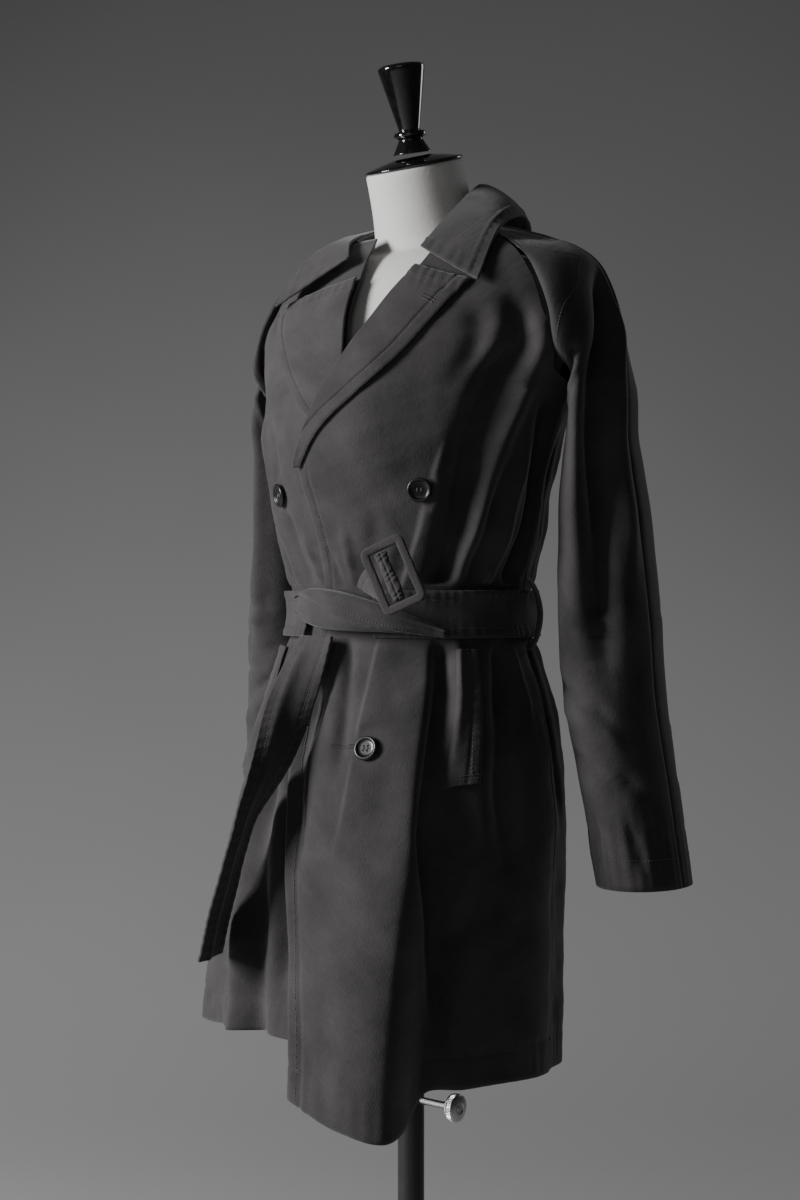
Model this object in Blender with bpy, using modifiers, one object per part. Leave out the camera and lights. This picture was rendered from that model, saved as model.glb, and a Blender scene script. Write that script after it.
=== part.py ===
"""A belted, double-breasted raglan trench coat on a limbless dress form and round stand.

Metres, +Z up. The origin is the centre of the base's underside, on the pole's axis.
The coat's front faces -Y and the wearer's left is +X. Angles round the body start at
the front and grow towards the wearer's left.
"""
import math

import bpy
import bmesh
import numpy as np
from mathutils import Matrix, Vector

# ---- Driving dimensions -----------------------------------------------------------
CLOTH = 0.0020            # wall of every cloth piece
SEAM_GAP = 0.0006         # clearance between neighbouring pieces at a seam
SLEEVE_SEAM_GAP = 0.0036  # the same along the raglan seams, where the cloth turns
LAYER = 0.0042            # step outwards from one layer of cloth to the next

WAIST_Z = 1.036           # centre of the belt
BELT_WIDTH = 0.050
UNDERARM_Z = 1.262
LAPEL_BREAK_Z = 1.181     # where the left lapel's roll line meets the front edge
SIDE_SEAM = math.radians(96)

BODY_REACH = 0.15         # rough distance from the body axis to the cloth
FRONT_LOW = 0.58          # lowest level of the front rows before the hem line cuts them
BUTTON_RADIUS = 0.0125
BUTTON_THICK = 0.0042
BUTTON_CLEAR = 0.0012     # air between a button's back and the cloth

TUBE_RADIUS = 0.014
TUBE_BORE = 0.0118
TUBE_TOP = 0.548
ROD_RADIUS = 0.0112
ROD_BOTTOM = 0.290
FORM_BOTTOM = 0.900
SOCKET_DEPTH = 0.060      # how far the rod enters the form
CLAMP_Z = 0.525
WHEEL_X = 0.0525          # inner face of the clamp wheel

NECK_TILT = math.radians(18)
NECK_RADIUS = 0.0520
NECK_BASE = Vector((0, 0.034, 1.420))
NECK_LENGTH = 0.092

# ---- Tables of sections -----------------------------------------------------------
# Coat body: height, centre x, centre y, half width, depth to the front, to the back.
BODY = (
    (0.540, -0.020, 0.000, 0.184, 0.214, 0.092),
    (0.600, -0.020, 0.000, 0.184, 0.210, 0.095),
    (0.720, -0.015, 0.000, 0.181, 0.194, 0.108),
    (0.860, -0.005, 0.000, 0.174, 0.162, 0.121),
    (0.960, 0.000, 0.000, 0.153, 0.127, 0.111),
    (1.005, 0.000, 0.000, 0.139, 0.112, 0.103),
    (1.036, 0.000, 0.000, 0.134, 0.107, 0.100),
    (1.067, 0.000, 0.000, 0.137, 0.111, 0.101),
    (1.110, 0.000, 0.000, 0.148, 0.122, 0.104),
    (1.180, 0.000, 0.004, 0.159, 0.141, 0.106),
    (1.225, 0.001, 0.010, 0.170, 0.147, 0.108),
    (1.265, 0.004, 0.020, 0.184, 0.150, 0.106),
    (1.300, 0.009, 0.033, 0.205, 0.153, 0.097),
    (1.340, 0.010, 0.042, 0.214, 0.146, 0.086),
    (1.370, 0.010, 0.045, 0.206, 0.130, 0.078),
    (1.400, 0.008, 0.045, 0.183, 0.108, 0.068),
    (1.420, 0.004, 0.045, 0.147, 0.088, 0.060),
    (1.436, 0.000, 0.043, 0.110, 0.072, 0.052),
    (1.452, 0.000, 0.040, 0.078, 0.056, 0.046),
)
# Skirt folds: angle, spread to the right, spread to the left (degrees), rise at the hem.
FOLDS = (
    (-150, 11, 11, 0.016),
    (-118, 12, 10, 0.014),
    (-62, 13, 12, 0.018),
    (-36, 9, 9, -0.012),
    (12, 14, 12, 0.004),
    (38, 17, 6, 0.046),
    (50, 6, 9, -0.016),
    (84, 12, 13, 0.010),
    (118, 12, 12, 0.015),
    (152, 11, 12, 0.014),
    (180, 10, 10, -0.008),
)
FOLD_TOP = 1.000          # the folds start under the belt
FOLD_BOTTOM = 0.560
# Hem height round the body: angle (degrees), height.
HEM = ((-180, 0.580), (-130, 0.588), (-96, 0.600), (-60, 0.606), (-30, 0.618), (-6, 0.630))
HEM_LEFT = ((-8, 0.594), (2, 0.588), (20, 0.566), (30, 0.556), (42, 0.552), (50, 0.576), (62, 0.580),
            (96, 0.580), (130, 0.580), (180, 0.580))
# Front edges and lapel roll lines: height, x.
LEFT_EDGE = ((0.540, 0.018), (0.620, 0.016), (0.700, 0.004), (0.800, -0.020), (0.900, -0.038),
             (0.955, -0.044), (1.000, -0.034), (1.050, -0.024), (1.100, -0.022), (1.181, -0.030),
             (1.240, -0.007), (1.296, 0.026), (1.340, 0.055), (1.389, 0.076), (1.440, 0.080))
RIGHT_EDGE = ((0.540, 0.048), (0.620, 0.044), (0.700, 0.030), (0.800, 0.006), (0.900, -0.012),
              (0.970, -0.010), (1.020, 0.010), (1.120, 0.034), (1.200, 0.027), (1.260, 0.018),
              (1.300, 0.011), (1.340, 0.002), (1.389, -0.006), (1.440, -0.022))
# Raglan seams on the body: height, x of the front seam, x of the back seam.
RAGLAN = ((1.262, 0.184, 0.184), (1.300, 0.196, 0.176), (1.337, 0.190, 0.160),
          (1.371, 0.173, 0.138), (1.398, 0.148, 0.112), (1.420, 0.108, 0.084),
          (1.436, 0.080, 0.062))
FRONT_TOP = 1.428         # the neck seam's height at the front raglan seams
BACK_TOP = 1.444

# Sleeve cap rows: over-arm point, front bulge, back bulge, heights of the front and back seams.
SLEEVE_CAP = (
    ((0.084, 0.030, 1.440), (0.086, 0.006, 1.434), (0.080, 0.052, 1.442), 1.427, 1.438),
    ((0.132, 0.046, 1.425), (0.134, 0.004, 1.417), (0.118, 0.074, 1.422), 1.414, 1.414),
    ((0.170, 0.050, 1.411), (0.173, -0.002, 1.402), (0.152, 0.086, 1.401), 1.394, 1.386),
    ((0.202, 0.051, 1.386), (0.200, -0.010, 1.380), (0.174, 0.094, 1.372), 1.366, 1.348),
    ((0.220, 0.052, 1.346), (0.217, -0.016, 1.342), (0.190, 0.097, 1.334), 1.330, 1.312),
    ((0.226, 0.053, 1.306), (0.222, -0.020, 1.303), (0.197, 0.101, 1.298), 1.292, 1.284),
)
# Sleeve tube: height, centre x, centre y, half width, depth to the front and to the back.
SLEEVE_TUBE = (
    (1.262, 0.213, 0.046, 0.0205, 0.062, 0.050),
    (1.215, 0.207, 0.050, 0.0255, 0.062, 0.054),
    (1.150, 0.205, 0.055, 0.0365, 0.065, 0.060),
    (1.030, 0.209, 0.058, 0.0460, 0.066, 0.064),
    (0.950, 0.215, 0.058, 0.0465, 0.064, 0.063),
    (0.860, 0.231, 0.060, 0.0450, 0.060, 0.060),
    (0.768, 0.247, 0.060, 0.0440, 0.057, 0.057),
)
# How much nearer the body the right sleeve lies than a mirrored left one: height, distance.
RIGHT_TUCK = ((0.768, 0.014), (0.920, 0.006), (1.030, -0.006), (1.150, 0.000), (1.215, 0.002),
              (1.262, 0.008), (1.300, 0.021), (1.340, 0.029), (1.400, 0.020), (1.445, 0.004))
OVERARM_GAP = 0.0030       # room at the over-arm seam by the neck, where the walls stand up
INNER_MARGIN = 0.060       # angle left free at the inner seam by the cuff
CAP_FLATNESS = 0.3         # how much flatter than an ellipse the cap leaves the raglan seam
CAP_ROWS = 0.62            # share of the sleeve's rows where the flatness has gone
CAP_FADE = 0.20

# Dress form: height, centre y, half width, depth to the front, depth to the back.
FORM = (
    (0.900, 0.000, 0.138, 0.098, 0.094),
    (0.912, 0.000, 0.145, 0.105, 0.100),
    (0.950, 0.000, 0.137, 0.100, 0.096),
    (1.036, 0.000, 0.117, 0.088, 0.080),
    (1.120, 0.000, 0.130, 0.104, 0.086),
    (1.190, 0.002, 0.144, 0.124, 0.094),
    (1.250, 0.012, 0.154, 0.131, 0.096),
    (1.310, 0.030, 0.168, 0.132, 0.084),
    (1.360, 0.038, 0.172, 0.118, 0.074),
    (1.390, 0.040, 0.156, 0.099, 0.066),
    (1.408, 0.040, 0.110, 0.078, 0.055),
    (1.420, 0.036, 0.066, 0.058, 0.050),
)


# Lapels: height of the roll-line point, x of the outer edge there, how far the edge drops.
LEFT_LAPEL = ((1.183, -0.024, 0.000), (1.222, 0.000, 0.006), (1.262, 0.040, 0.012),
              (1.300, 0.080, 0.012), (1.340, 0.108, 0.014), (1.374, 0.128, 0.014))
RIGHT_LAPEL = ((1.208, 0.006, 0.000), (1.235, -0.026, 0.002), (1.270, -0.055, 0.010),
               (1.310, -0.088, 0.012), (1.345, -0.112, 0.012), (1.376, -0.122, 0.016))
LAPEL_LIFT = 0.0042
LAPEL_ROOM = 0.0070       # room for the right lapel under the left front
ROLL_HEIGHT = 0.002
# Collar lines from the right front round the back of the neck to the left front: x, y, z.
STAND_SEAM = ((-0.058, -0.016, 1.428), (-0.070, 0.008, 1.434), (-0.074, 0.036, 1.440),
              (-0.052, 0.080, 1.454), (0.000, 0.097, 1.458), (0.054, 0.080, 1.456),
              (0.075, 0.036, 1.448), (0.074, 0.006, 1.442), (0.068, -0.018, 1.436))
COLLAR_FOLD = ((-0.020, -0.078, 1.400), (-0.049, -0.036, 1.428), (-0.063, 0.030, 1.452),
               (-0.047, 0.076, 1.478), (0.000, 0.092, 1.490), (0.044, 0.074, 1.490),
               (0.062, 0.034, 1.482), (0.069, -0.018, 1.447), (0.069, -0.074, 1.402))
COLLAR_EDGE = ((-0.112, -0.086, 1.358), (-0.112, -0.036, 1.414), (-0.106, 0.046, 1.440),
               (-0.066, 0.116, 1.438), (0.000, 0.134, 1.436), (0.068, 0.116, 1.440),
               (0.110, 0.046, 1.446), (0.130, -0.024, 1.420), (0.141, -0.076, 1.360))
STAND_RANGE = (0.13, 0.87)  # shares of the fold line that the stand carries
COLLAR_SWELL = 0.008
STAND_INSET = 0.0036
FLAP_LIFT = 0.0076
BELT_LIFT = 0.0088
BELT_START = 16           # angles of the waist belt's ends, in degrees
BELT_END = 338
LOOP_HEIGHT = 0.074
LOOP_FOOT = 0.0026
LOOP_RISE = 0.0190
LOOP_HALF_ANGLE = 2.6
CORNER_STEPS = 4
SLIDE_GAP = 0.0006
FINIAL_TILT = math.radians(13)
FINIAL_RISE = 0.0128
TUBE_FOOT = 0.0560
# Free end of the belt, turning edge-on as it falls: centre x, y, z, then half the width.
TAIL = ((-0.0260, -0.1235, 1.0140, 0.0245, -0.0043, 0.0), (-0.0262, -0.1580, 0.9550, 0.0190, 0.0148, 0.0),
        (-0.0299, -0.1829, 0.8930, 0.0065, 0.0241, 0.0), (-0.0530, -0.1995, 0.8260, -0.0076, 0.0239, 0.0),
        (-0.0690, -0.2090, 0.7600, -0.0076, 0.0239, 0.0), (-0.0815, -0.2170, 0.6980, -0.0076, 0.0239, 0.0))
# Knot band over the front of the belt: angle (degrees), height, distance off the coat, half width.
KNOT = ((-26, 1.047, 0.0150, 0.0070), (-15, 1.046, 0.0190, 0.0170), (-3, 1.043, 0.0230, 0.0200),
        (11, 1.037, 0.0250, 0.0180), (27, 1.027, 0.0210, 0.0120), (47, 1.014, 0.0150, 0.0040))
# Strap from behind the buckle down to the knot: centre x, y, z, then half the width.
STRAP_ROUTE = ((0.0765, -0.1500, 1.0650, 0.0090, 0.0018, -0.0198),
               (0.0640, -0.1450, 1.0600, 0.0120, 0.0010, -0.0150),
               (0.0520, -0.1360, 1.0560, 0.0140, 0.0000, -0.0070))
BUCKLE_WIDTH = 0.046
BUCKLE_LENGTH = 0.070
BUCKLE_BAR = 0.0085
BUCKLE_THICK = 0.0045
BUCKLE_CORNER = 0.0070
WINDOW_CORNER = 0.0030
BAR_RADIUS = 0.0022
BAR_GAP = 0.0005
BUCKLE_CENTRE = (0.094, -0.150, 1.074)
BUCKLE_LONG = (0.030, 0.006, -0.066)
BUCKLE_SHORT = (0.042, 0.018, 0.013)
# Buttons: node, x, height, and the layers of cloth below.
BUTTONS = (("button_upper_left", 0.093, 1.158, 0.0042), ("button_upper_right", -0.080, 1.158, 0.0),
           ("button_lower_left", 0.056, 0.904, 0.0042), ("button_lower_right", -0.104, 0.906, 0.0))
# Turned profiles: radius, height, from the top down.
CAP_PROFILE = ((0.0, 0.0105), (0.020, 0.0100), (0.036, 0.0068), (0.0505, 0.0034),
               (0.0530, 0.0018), (0.0520, 0.0), (0.0, 0.0))
FINIAL_PROFILE = ((0.0, 0.0925), (0.0215, 0.0915), (0.0250, 0.0890), (0.0245, 0.0850),
                  (0.0115, 0.0265), (0.0110, 0.0245), (0.0165, 0.0225), (0.0175, 0.0195),
                  (0.0160, 0.0170), (0.0125, 0.0150), (0.0140, 0.0125), (0.0185, 0.0040),
                  (0.0210, 0.0004), (0.0, 0.0004))
BASE_PROFILE = ((0.0, 0.0540), (0.022, 0.0540), (0.026, 0.0500), (0.028, 0.0360),
                (0.060, 0.0280), (0.150, 0.0240), (0.188, 0.0190), (0.195, 0.0120),
                (0.195, 0.0030), (0.192, 0.0), (0.0, 0.0))
WHEEL_PROFILE = ((0.0, 0.0110), (0.0060, 0.0110), (0.0120, 0.0100), (0.0143, 0.0090),
                 (0.0145, 0.0020), (0.0135, 0.0), (0.0, 0.0))


# ---- Scene and materials ----------------------------------------------------------
def clear_scene():
    """Remove every object that the new file starts with."""
    for item in list(bpy.data.objects):
        bpy.data.objects.remove(item, do_unlink=True)


def new_collection(name):
    """A collection linked to the scene."""
    group = bpy.data.collections.new(name)
    bpy.context.scene.collection.children.link(group)
    return group


def new_material(name, colour, roughness, metallic=0.0):
    """A plain Principled material."""
    made = bpy.data.materials.new(name)
    made.use_nodes = True
    shader = made.node_tree.nodes["Principled BSDF"]
    shader.inputs["Base Color"].default_value = (*colour, 1.0)
    shader.inputs["Roughness"].default_value = roughness
    shader.inputs["Metallic"].default_value = metallic
    return made


def add_object(name, mesh, material):
    """Put a mesh in the coat's collection as a named object with one material."""
    thing = bpy.data.objects.new(name, mesh)
    PARTS.objects.link(thing)
    mesh.materials.clear()
    mesh.materials.append(material)
    return thing


def smooth(mesh, angle=35):
    """Smooth shading with sharp edges past the given angle."""
    mesh.shade_smooth()
    mesh.set_sharp_from_angle(angle=math.radians(angle))


# ---- Tables and surfaces ----------------------------------------------------------
def along(table, at):
    """Columns of a table at the keys `at`, on a smooth cubic through its rows."""
    rows = np.array(table, dtype=float)
    key, values = rows[:, 0], rows[:, 1:]
    slope = np.gradient(values, key, axis=0)
    at = np.clip(np.asarray(at, dtype=float), key[0], key[-1])
    i = np.clip(np.searchsorted(key, at) - 1, 0, len(key) - 2)
    step = (key[i + 1] - key[i])[..., None]
    t = (at - key[i])[..., None] / step
    start = (2 * t**3 - 3 * t**2 + 1) * values[i] + (t**3 - 2 * t**2 + t) * step * slope[i]
    end = (3 * t**2 - 2 * t**3) * values[i + 1] + (t**3 - t**2) * step * slope[i + 1]
    return start + end


def ramp(x):
    """Smooth step from 0 to 1."""
    x = np.clip(x, 0.0, 1.0)
    return x * x * (3 - 2 * x)


def fold_rise(angle, z):
    """Sum of the skirt folds' bumps, growing from the belt to the hem."""
    degrees = (np.degrees(angle) + 180) % 360 - 180
    total = np.zeros_like(degrees)
    for centre, right, left, rise in FOLDS:
        away = (degrees - centre + 180) % 360 - 180
        spread = np.where(away < 0, right, left)
        total = total + rise * np.exp(-(away / spread) ** 2)
    return total * ramp((FOLD_TOP - z) / (FOLD_TOP - FOLD_BOTTOM)) ** 0.8


def body_point(angle, z):
    """Coat surface: half ellipses joined at the sides, pushed out by the folds."""
    centre_x, centre_y, width, front, back = np.moveaxis(along(BODY, z), -1, 0)
    depth = np.where(np.cos(angle) > 0, front, back)
    out = fold_rise(angle, z)
    return np.stack([centre_x + (width + out) * np.sin(angle),
                     centre_y - (depth + out) * np.cos(angle),
                     z + 0 * angle], axis=-1)


def body_layer(angle, z, lift):
    """The coat surface moved out along its normal by `lift`."""
    small = 0.002
    angle, z = np.broadcast_arrays(np.asarray(angle, float), np.asarray(z, float))
    across = body_point(angle + small, z) - body_point(angle - small, z)
    up = body_point(angle, z + small) - body_point(angle, z - small)
    normal = np.cross(across, up)
    normal /= np.linalg.norm(normal, axis=-1, keepdims=True)
    return body_point(angle, z) + normal * np.asarray(lift)[..., None]


def angle_of_x(x, z):
    """Angle on the front half where the smooth body section has this x."""
    centre_x, _, width, _, _ = np.moveaxis(along(BODY, z), -1, 0)
    return np.arcsin(np.clip((x - centre_x) / width, -1, 1))


def place(x, z, lift):
    """Point on the front of the coat at a given x and height."""
    return body_layer(angle_of_x(x, z), z, lift)


def panel(name, points, material, thick=CLOTH):
    """A grid of outer-face points, rows down and columns to the wearer's left, made solid.

    The wall goes inwards from the points.
    """
    rows, columns = points.shape[:2]
    index = np.arange(rows * columns).reshape(rows, columns)
    quads = np.stack([index[1:, :-1], index[1:, 1:], index[:-1, 1:], index[:-1, :-1]], axis=-1)
    mesh = bpy.data.meshes.new(name)
    mesh.from_pydata(points.reshape(-1, 3).tolist(), [], quads.reshape(-1, 4).tolist())
    smooth(mesh, 60)
    thing = add_object(name, mesh, material)
    wall = thing.modifiers.new("cloth", "SOLIDIFY")
    wall.thickness = thick
    wall.offset = -1
    return thing


def grid(rows, columns):
    """Row and column shares from 0 to 1 as two arrays of one shape."""
    down, across = np.meshgrid(np.linspace(0, 1, rows), np.linspace(0, 1, columns), indexing="ij")
    return down, across


# ---- Coat body --------------------------------------------------------------------
def heights(top, bottom, share):
    """Heights of the rows of a body panel, closer together at the waist and underarm."""
    marks = np.array((0.0, 0.10, 0.22, 0.36, 0.50, 0.74, 1.0))
    levels = np.stack([top, top * 0 + 1.352, top * 0 + 1.266, top * 0 + 1.12,
                       top * 0 + WAIST_Z, top * 0 + 0.84, bottom], axis=-1)
    i = np.clip(np.searchsorted(marks, share) - 1, 0, len(marks) - 2)
    t = (share - marks[i]) / (marks[i + 1] - marks[i])
    low = np.take_along_axis(levels, i[..., None], -1)[..., 0]
    high = np.take_along_axis(levels, i[..., None] + 1, -1)[..., 0]
    return low + (high - low) * t


def outer_angle(z, back):
    """Angle of a panel's outer edge: the raglan seam above the underarm, else the side seam."""
    column = 1 if back else 0
    centre_x, _, width, _, _ = np.moveaxis(along(BODY, z), -1, 0)
    seam_x = along(RAGLAN, z)[..., column]
    raglan = np.arcsin(np.clip((seam_x - centre_x) / width, -1, 1))
    raglan = math.pi - raglan if back else raglan
    blend = ramp((z - UNDERARM_Z + 0.012) / 0.030)
    return SIDE_SEAM * (1 - blend) + raglan * blend


def make_back():
    """Back panel: raglan seams and side seams at both edges."""
    down, across = grid(19, 16)
    side = across * 2 - 1
    angle = math.pi - side * (math.pi - SIDE_SEAM)
    bottom = along(HEM_LEFT, np.degrees(SIDE_SEAM) + 0 * angle)[..., 0]
    z = heights(BACK_TOP + 0 * angle, bottom, down)
    edge = outer_angle(z, back=True) + SEAM_GAP / BODY_REACH
    angle = math.pi + side * (math.pi - edge)
    return panel("coat_back", body_layer(angle, z, 0.0), DARK)


def front_lift(angle, z, lift, side):
    """Height of a front over the coat surface: its own layer, and on the left front some
    room for the right lapel below it, both fading out towards the side seam."""
    away = np.abs(np.degrees(angle))
    room = LAPEL_ROOM * ramp((z - LAPEL_BREAK_Z + 0.035) / 0.045) * (1 - ramp((away - 12) / 24))
    return lift * (1 - ramp((away - 45) / 35)) + room * (side > 0)


def front_panel(name, edge_table, hem_table, lift, side, top=FRONT_TOP):
    """One front, from its own front edge and roll line to the raglan and side seam."""
    down, across = grid(19, 12)
    z = heights(top + 0 * down, FRONT_LOW + 0 * down, down)
    reach = side * (outer_angle(z, back=False) - SEAM_GAP / BODY_REACH)
    for _ in range(3):
        inner = angle_of_x(along(edge_table, z)[..., 0], z)
        angle = inner + (reach - inner) * across
        hem = along(hem_table, np.degrees(angle))[..., 0]
        z = heights(top + 0 * down, hem, down)
        reach = side * (outer_angle(z, back=False) - SEAM_GAP / BODY_REACH)
    points = body_layer(angle, z, front_lift(angle, z, lift, side))
    return panel(name, points if side > 0 else points[:, ::-1], DARK)


def make_fronts():
    """The right front lies next to the form and the left front laps over it."""
    front_panel("front_right", RIGHT_EDGE, HEM, 0.0, -1)
    front_panel("front_left", LEFT_EDGE, HEM_LEFT, LAYER, 1)


# ---- Sleeves ----------------------------------------------------------------------
def seam_point(z, back, side):
    """Point just past a body panel's raglan seam, where the sleeve's edge starts."""
    turn = SLEEVE_SEAM_GAP / along(BODY, z)[2]
    angle = outer_angle(z, back) + (-turn if back else turn)
    return body_layer(side * angle, z, SLEEVE_SEAM_GAP)


def worn_side(point, side):
    """A left sleeve's point as it lies on the given side of the wearer."""
    x, y, z = point
    tuck = along(RIGHT_TUCK, z)[0] if side < 0 else 0.0
    return (side * x + tuck, y, z)


def sleeve_rows(back, side):
    """Over-arm point, bulge and seam of each row, from the neck seam to the cuff."""
    rows = []
    for over, front_bulge, back_bulge, front_seam, back_seam in SLEEVE_CAP:
        seam = seam_point(back_seam if back else front_seam, back, side)
        bulge = back_bulge if back else front_bulge
        rows.append((worn_side(over, side), worn_side(bulge, side), seam))
    for z, x, y, width, front, rear in SLEEVE_TUBE:
        depth = rear if back else -front
        ring = ((x + width, y, z), (x, y + depth, z), (x - width, y, z))
        rows.append([worn_side(point, side) for point in ring])
    return np.array(rows)


def sleeve_half(name, back, side):
    """Half a raglan sleeve: each row is a half ellipse from the over-arm seam to the seam."""
    rows = sleeve_rows(back, side)
    keyed = np.concatenate([np.arange(len(rows))[:, None], rows.reshape(len(rows), 9)], axis=1)
    down, across = grid(17, 8)
    shape = along(keyed, down * (len(rows) - 1)).reshape(*down.shape, 3, 3)
    over, bulge, seam = shape[..., 0, :], shape[..., 1, :], shape[..., 2, :]
    over[..., 1] += (OVERARM_GAP * (1 - down) ** 2 + SEAM_GAP) * (1 if back else -1)
    centre = (over + seam) / 2
    turn = (math.pi - INNER_MARGIN * down)[..., None] * across[..., None]
    flat = 1 + CAP_FLATNESS * (ramp((CAP_ROWS - down) / CAP_FADE) * across)[..., None]
    points = centre + (over - centre) * np.cos(turn) + (bulge - centre) * np.sin(turn) ** flat
    flip = back == (side < 0)
    return panel(name, points[:, ::-1] if flip else points, DARK)


def make_sleeves():
    """Two raglan sleeves, each a front and a back with an over-arm seam between."""
    for label, side in (("left", 1), ("right", -1)):
        sleeve_half("sleeve_front_" + label, False, side)
        sleeve_half("sleeve_back_" + label, True, side)


# ---- Collar and lapels ------------------------------------------------------------
def make_lapel(name, edge_table, outline, side):
    """A turned-back lapel, lying one layer above its front along the roll line."""
    down, across = grid(11, 6)
    top, bottom = outline[-1][0], outline[0][0]
    z_roll = top + (bottom - top) * down
    outer = along(outline, z_roll)
    x_roll = along(edge_table, z_roll)[..., 0] + side * SEAM_GAP
    x = x_roll + (outer[..., 0] - x_roll) * across
    z = z_roll - outer[..., 1] * across
    below = front_lift(angle_of_x(x, z), z, LAYER if side > 0 else 0, side)
    points = place(x, z, below + LAPEL_LIFT + ROLL_HEIGHT * (1 - across) ** 2)
    return panel(name, points if side > 0 else points[:, ::-1], LIGHTER)


def make_lapels():
    """Both lapels, wide at the gorge and running out at the break."""
    make_lapel("lapel_left", LEFT_EDGE, LEFT_LAPEL, 1)
    make_lapel("lapel_right", RIGHT_EDGE, RIGHT_LAPEL, -1)


def neck_ring(table, share):
    """Points of one collar line from the right front round the back to the left front."""
    rows = np.array(table)
    keyed = np.concatenate([np.linspace(0, 1, len(rows))[:, None], rows], axis=1)
    return along(keyed, share)


def outward(points):
    """Level unit directions away from the neck's axis."""
    away = points[..., :2] - np.array(NECK_BASE)[:2]
    return away / np.linalg.norm(away, axis=-1, keepdims=True)


def make_collar():
    """Collar stand round the neck and the collar leaf that falls over it."""
    down, across = grid(4, 25)
    low = neck_ring(STAND_SEAM, across)
    start, end = STAND_RANGE
    high = neck_ring(COLLAR_FOLD, start + (end - start) * across)
    stand = high + (low - high) * down[..., None]
    stand[..., :2] -= STAND_INSET * outward(stand)
    panel("collar_stand", stand, LIGHTER)
    down, across = grid(6, 27)
    high, edge = neck_ring(COLLAR_FOLD, across), neck_ring(COLLAR_EDGE, across)
    leaf = high + (edge - high) * down[..., None]
    swell = COLLAR_SWELL * np.sin(math.pi * down) ** 0.8 * np.sin(math.pi * across) ** 0.4
    leaf[..., :2] += 0.6 * swell[..., None] * outward(leaf)
    leaf[..., 2] += 0.8 * swell
    panel("collar_leaf", leaf, LIGHTER)


# ---- Pockets and belt -------------------------------------------------------------
def patch_on_body(name, corners, lift, material, counts=(6, 3), thick=CLOTH):
    """A four-cornered piece on the coat; corners are (angle in degrees, height), from top
    right-hand side of the wearer, clockwise as seen from outside."""
    down, across = grid(*counts)
    (a0, z0), (a1, z1), (a2, z2), (a3, z3) = corners
    angle = (a0 * (1 - across) + a1 * across) * (1 - down) + (a3 * (1 - across) + a2 * across) * down
    z = (z0 * (1 - across) + z1 * across) * (1 - down) + (z3 * (1 - across) + z2 * across) * down
    return panel(name, body_layer(np.radians(angle), z, lift), material, thick)


def make_welts():
    """Slanted welt pockets below the belt."""
    patch_on_body("welt_left", ((51, 1.000), (61, 1.000), (60, 0.872), (46.5, 0.868)),
                  FLAP_LIFT, LIGHTER, (9, 4))
    patch_on_body("welt_right", ((-61, 1.000), (-51, 1.000), (-46.5, 0.868), (-60, 0.872)),
                  FLAP_LIFT, LIGHTER, (9, 4))


def make_belt():
    """Belt round the waist, open at the front where the knot covers its ends."""
    down, across = grid(4, 43)
    angle = np.radians(BELT_START + (BELT_END - BELT_START) * across)
    z = WAIST_Z + BELT_WIDTH * (0.5 - down)
    panel("belt_waist", body_layer(angle, z, BELT_LIFT), LIGHTER)


def ribbon(name, route, material, counts=17, thick=0.0035):
    """A band along rows of (centre x, y, z, half-width direction x, y, z), made solid."""
    rows = np.array(route)
    keyed = np.concatenate([np.linspace(0, 1, len(rows))[:, None], rows], axis=1)
    down, across = grid(counts, 3)
    shape = along(keyed, down)
    points = shape[..., :3] + shape[..., 3:] * (2 * across - 1)[..., None]
    return panel(name, points, material, thick)


def knot_route():
    """Route of the knot's band across the front of the belt."""
    rows = []
    for angle, z, lift, half in KNOT:
        rows.append((*body_layer(math.radians(angle), z, lift), 0.0, 0.0, half))
    return rows


def make_belt_loops():
    """Narrow carriers standing off the side seams, the belt running through them."""
    for label, side in (("left", 1), ("right", -1)):
        share = np.linspace(0, 1, 11)
        z = WAIST_Z + LOOP_HEIGHT * (0.5 - share)
        lift = LOOP_FOOT + LOOP_RISE * np.sin(math.pi * share) ** 0.6
        half = math.radians(LOOP_HALF_ANGLE)
        edges = [body_layer(side * SIDE_SEAM + turn, z, lift) for turn in (-half, half)]
        panel("belt_loop_" + label, np.stack(edges, axis=1), LIGHTER, 0.0018)


def plate_matrix(centre, along_axis, across_axis):
    """Placement whose local Y runs along the first axis and X along the second."""
    long_axis = Vector(along_axis).normalized()
    normal = Vector(across_axis).cross(long_axis).normalized()
    wide_axis = long_axis.cross(normal)
    frame = Matrix((wide_axis, long_axis, normal)).transposed().to_4x4()
    frame.translation = Vector(centre)
    return frame


def rounded_outline(width, length, radius):
    """A closed 2D curve: a rectangle with round corners."""
    spots = []
    for corner, (sx, sy) in enumerate(((1, 1), (-1, 1), (-1, -1), (1, -1))):
        for step in range(CORNER_STEPS + 1):
            turn = math.pi / 2 * (corner + step / CORNER_STEPS)
            spots.append((sx * (width / 2 - radius) + radius * math.cos(turn),
                          sy * (length / 2 - radius) + radius * math.sin(turn)))
    return spots


def add_spline(curve, spots):
    """One closed POLY spline from flat points."""
    spline = curve.splines.new("POLY")
    spline.points.add(len(spots) - 1)
    for point, (x, y) in zip(spline.points, spots):
        point.co = (x, y, 0, 1)
    spline.use_cyclic_u = True


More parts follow.
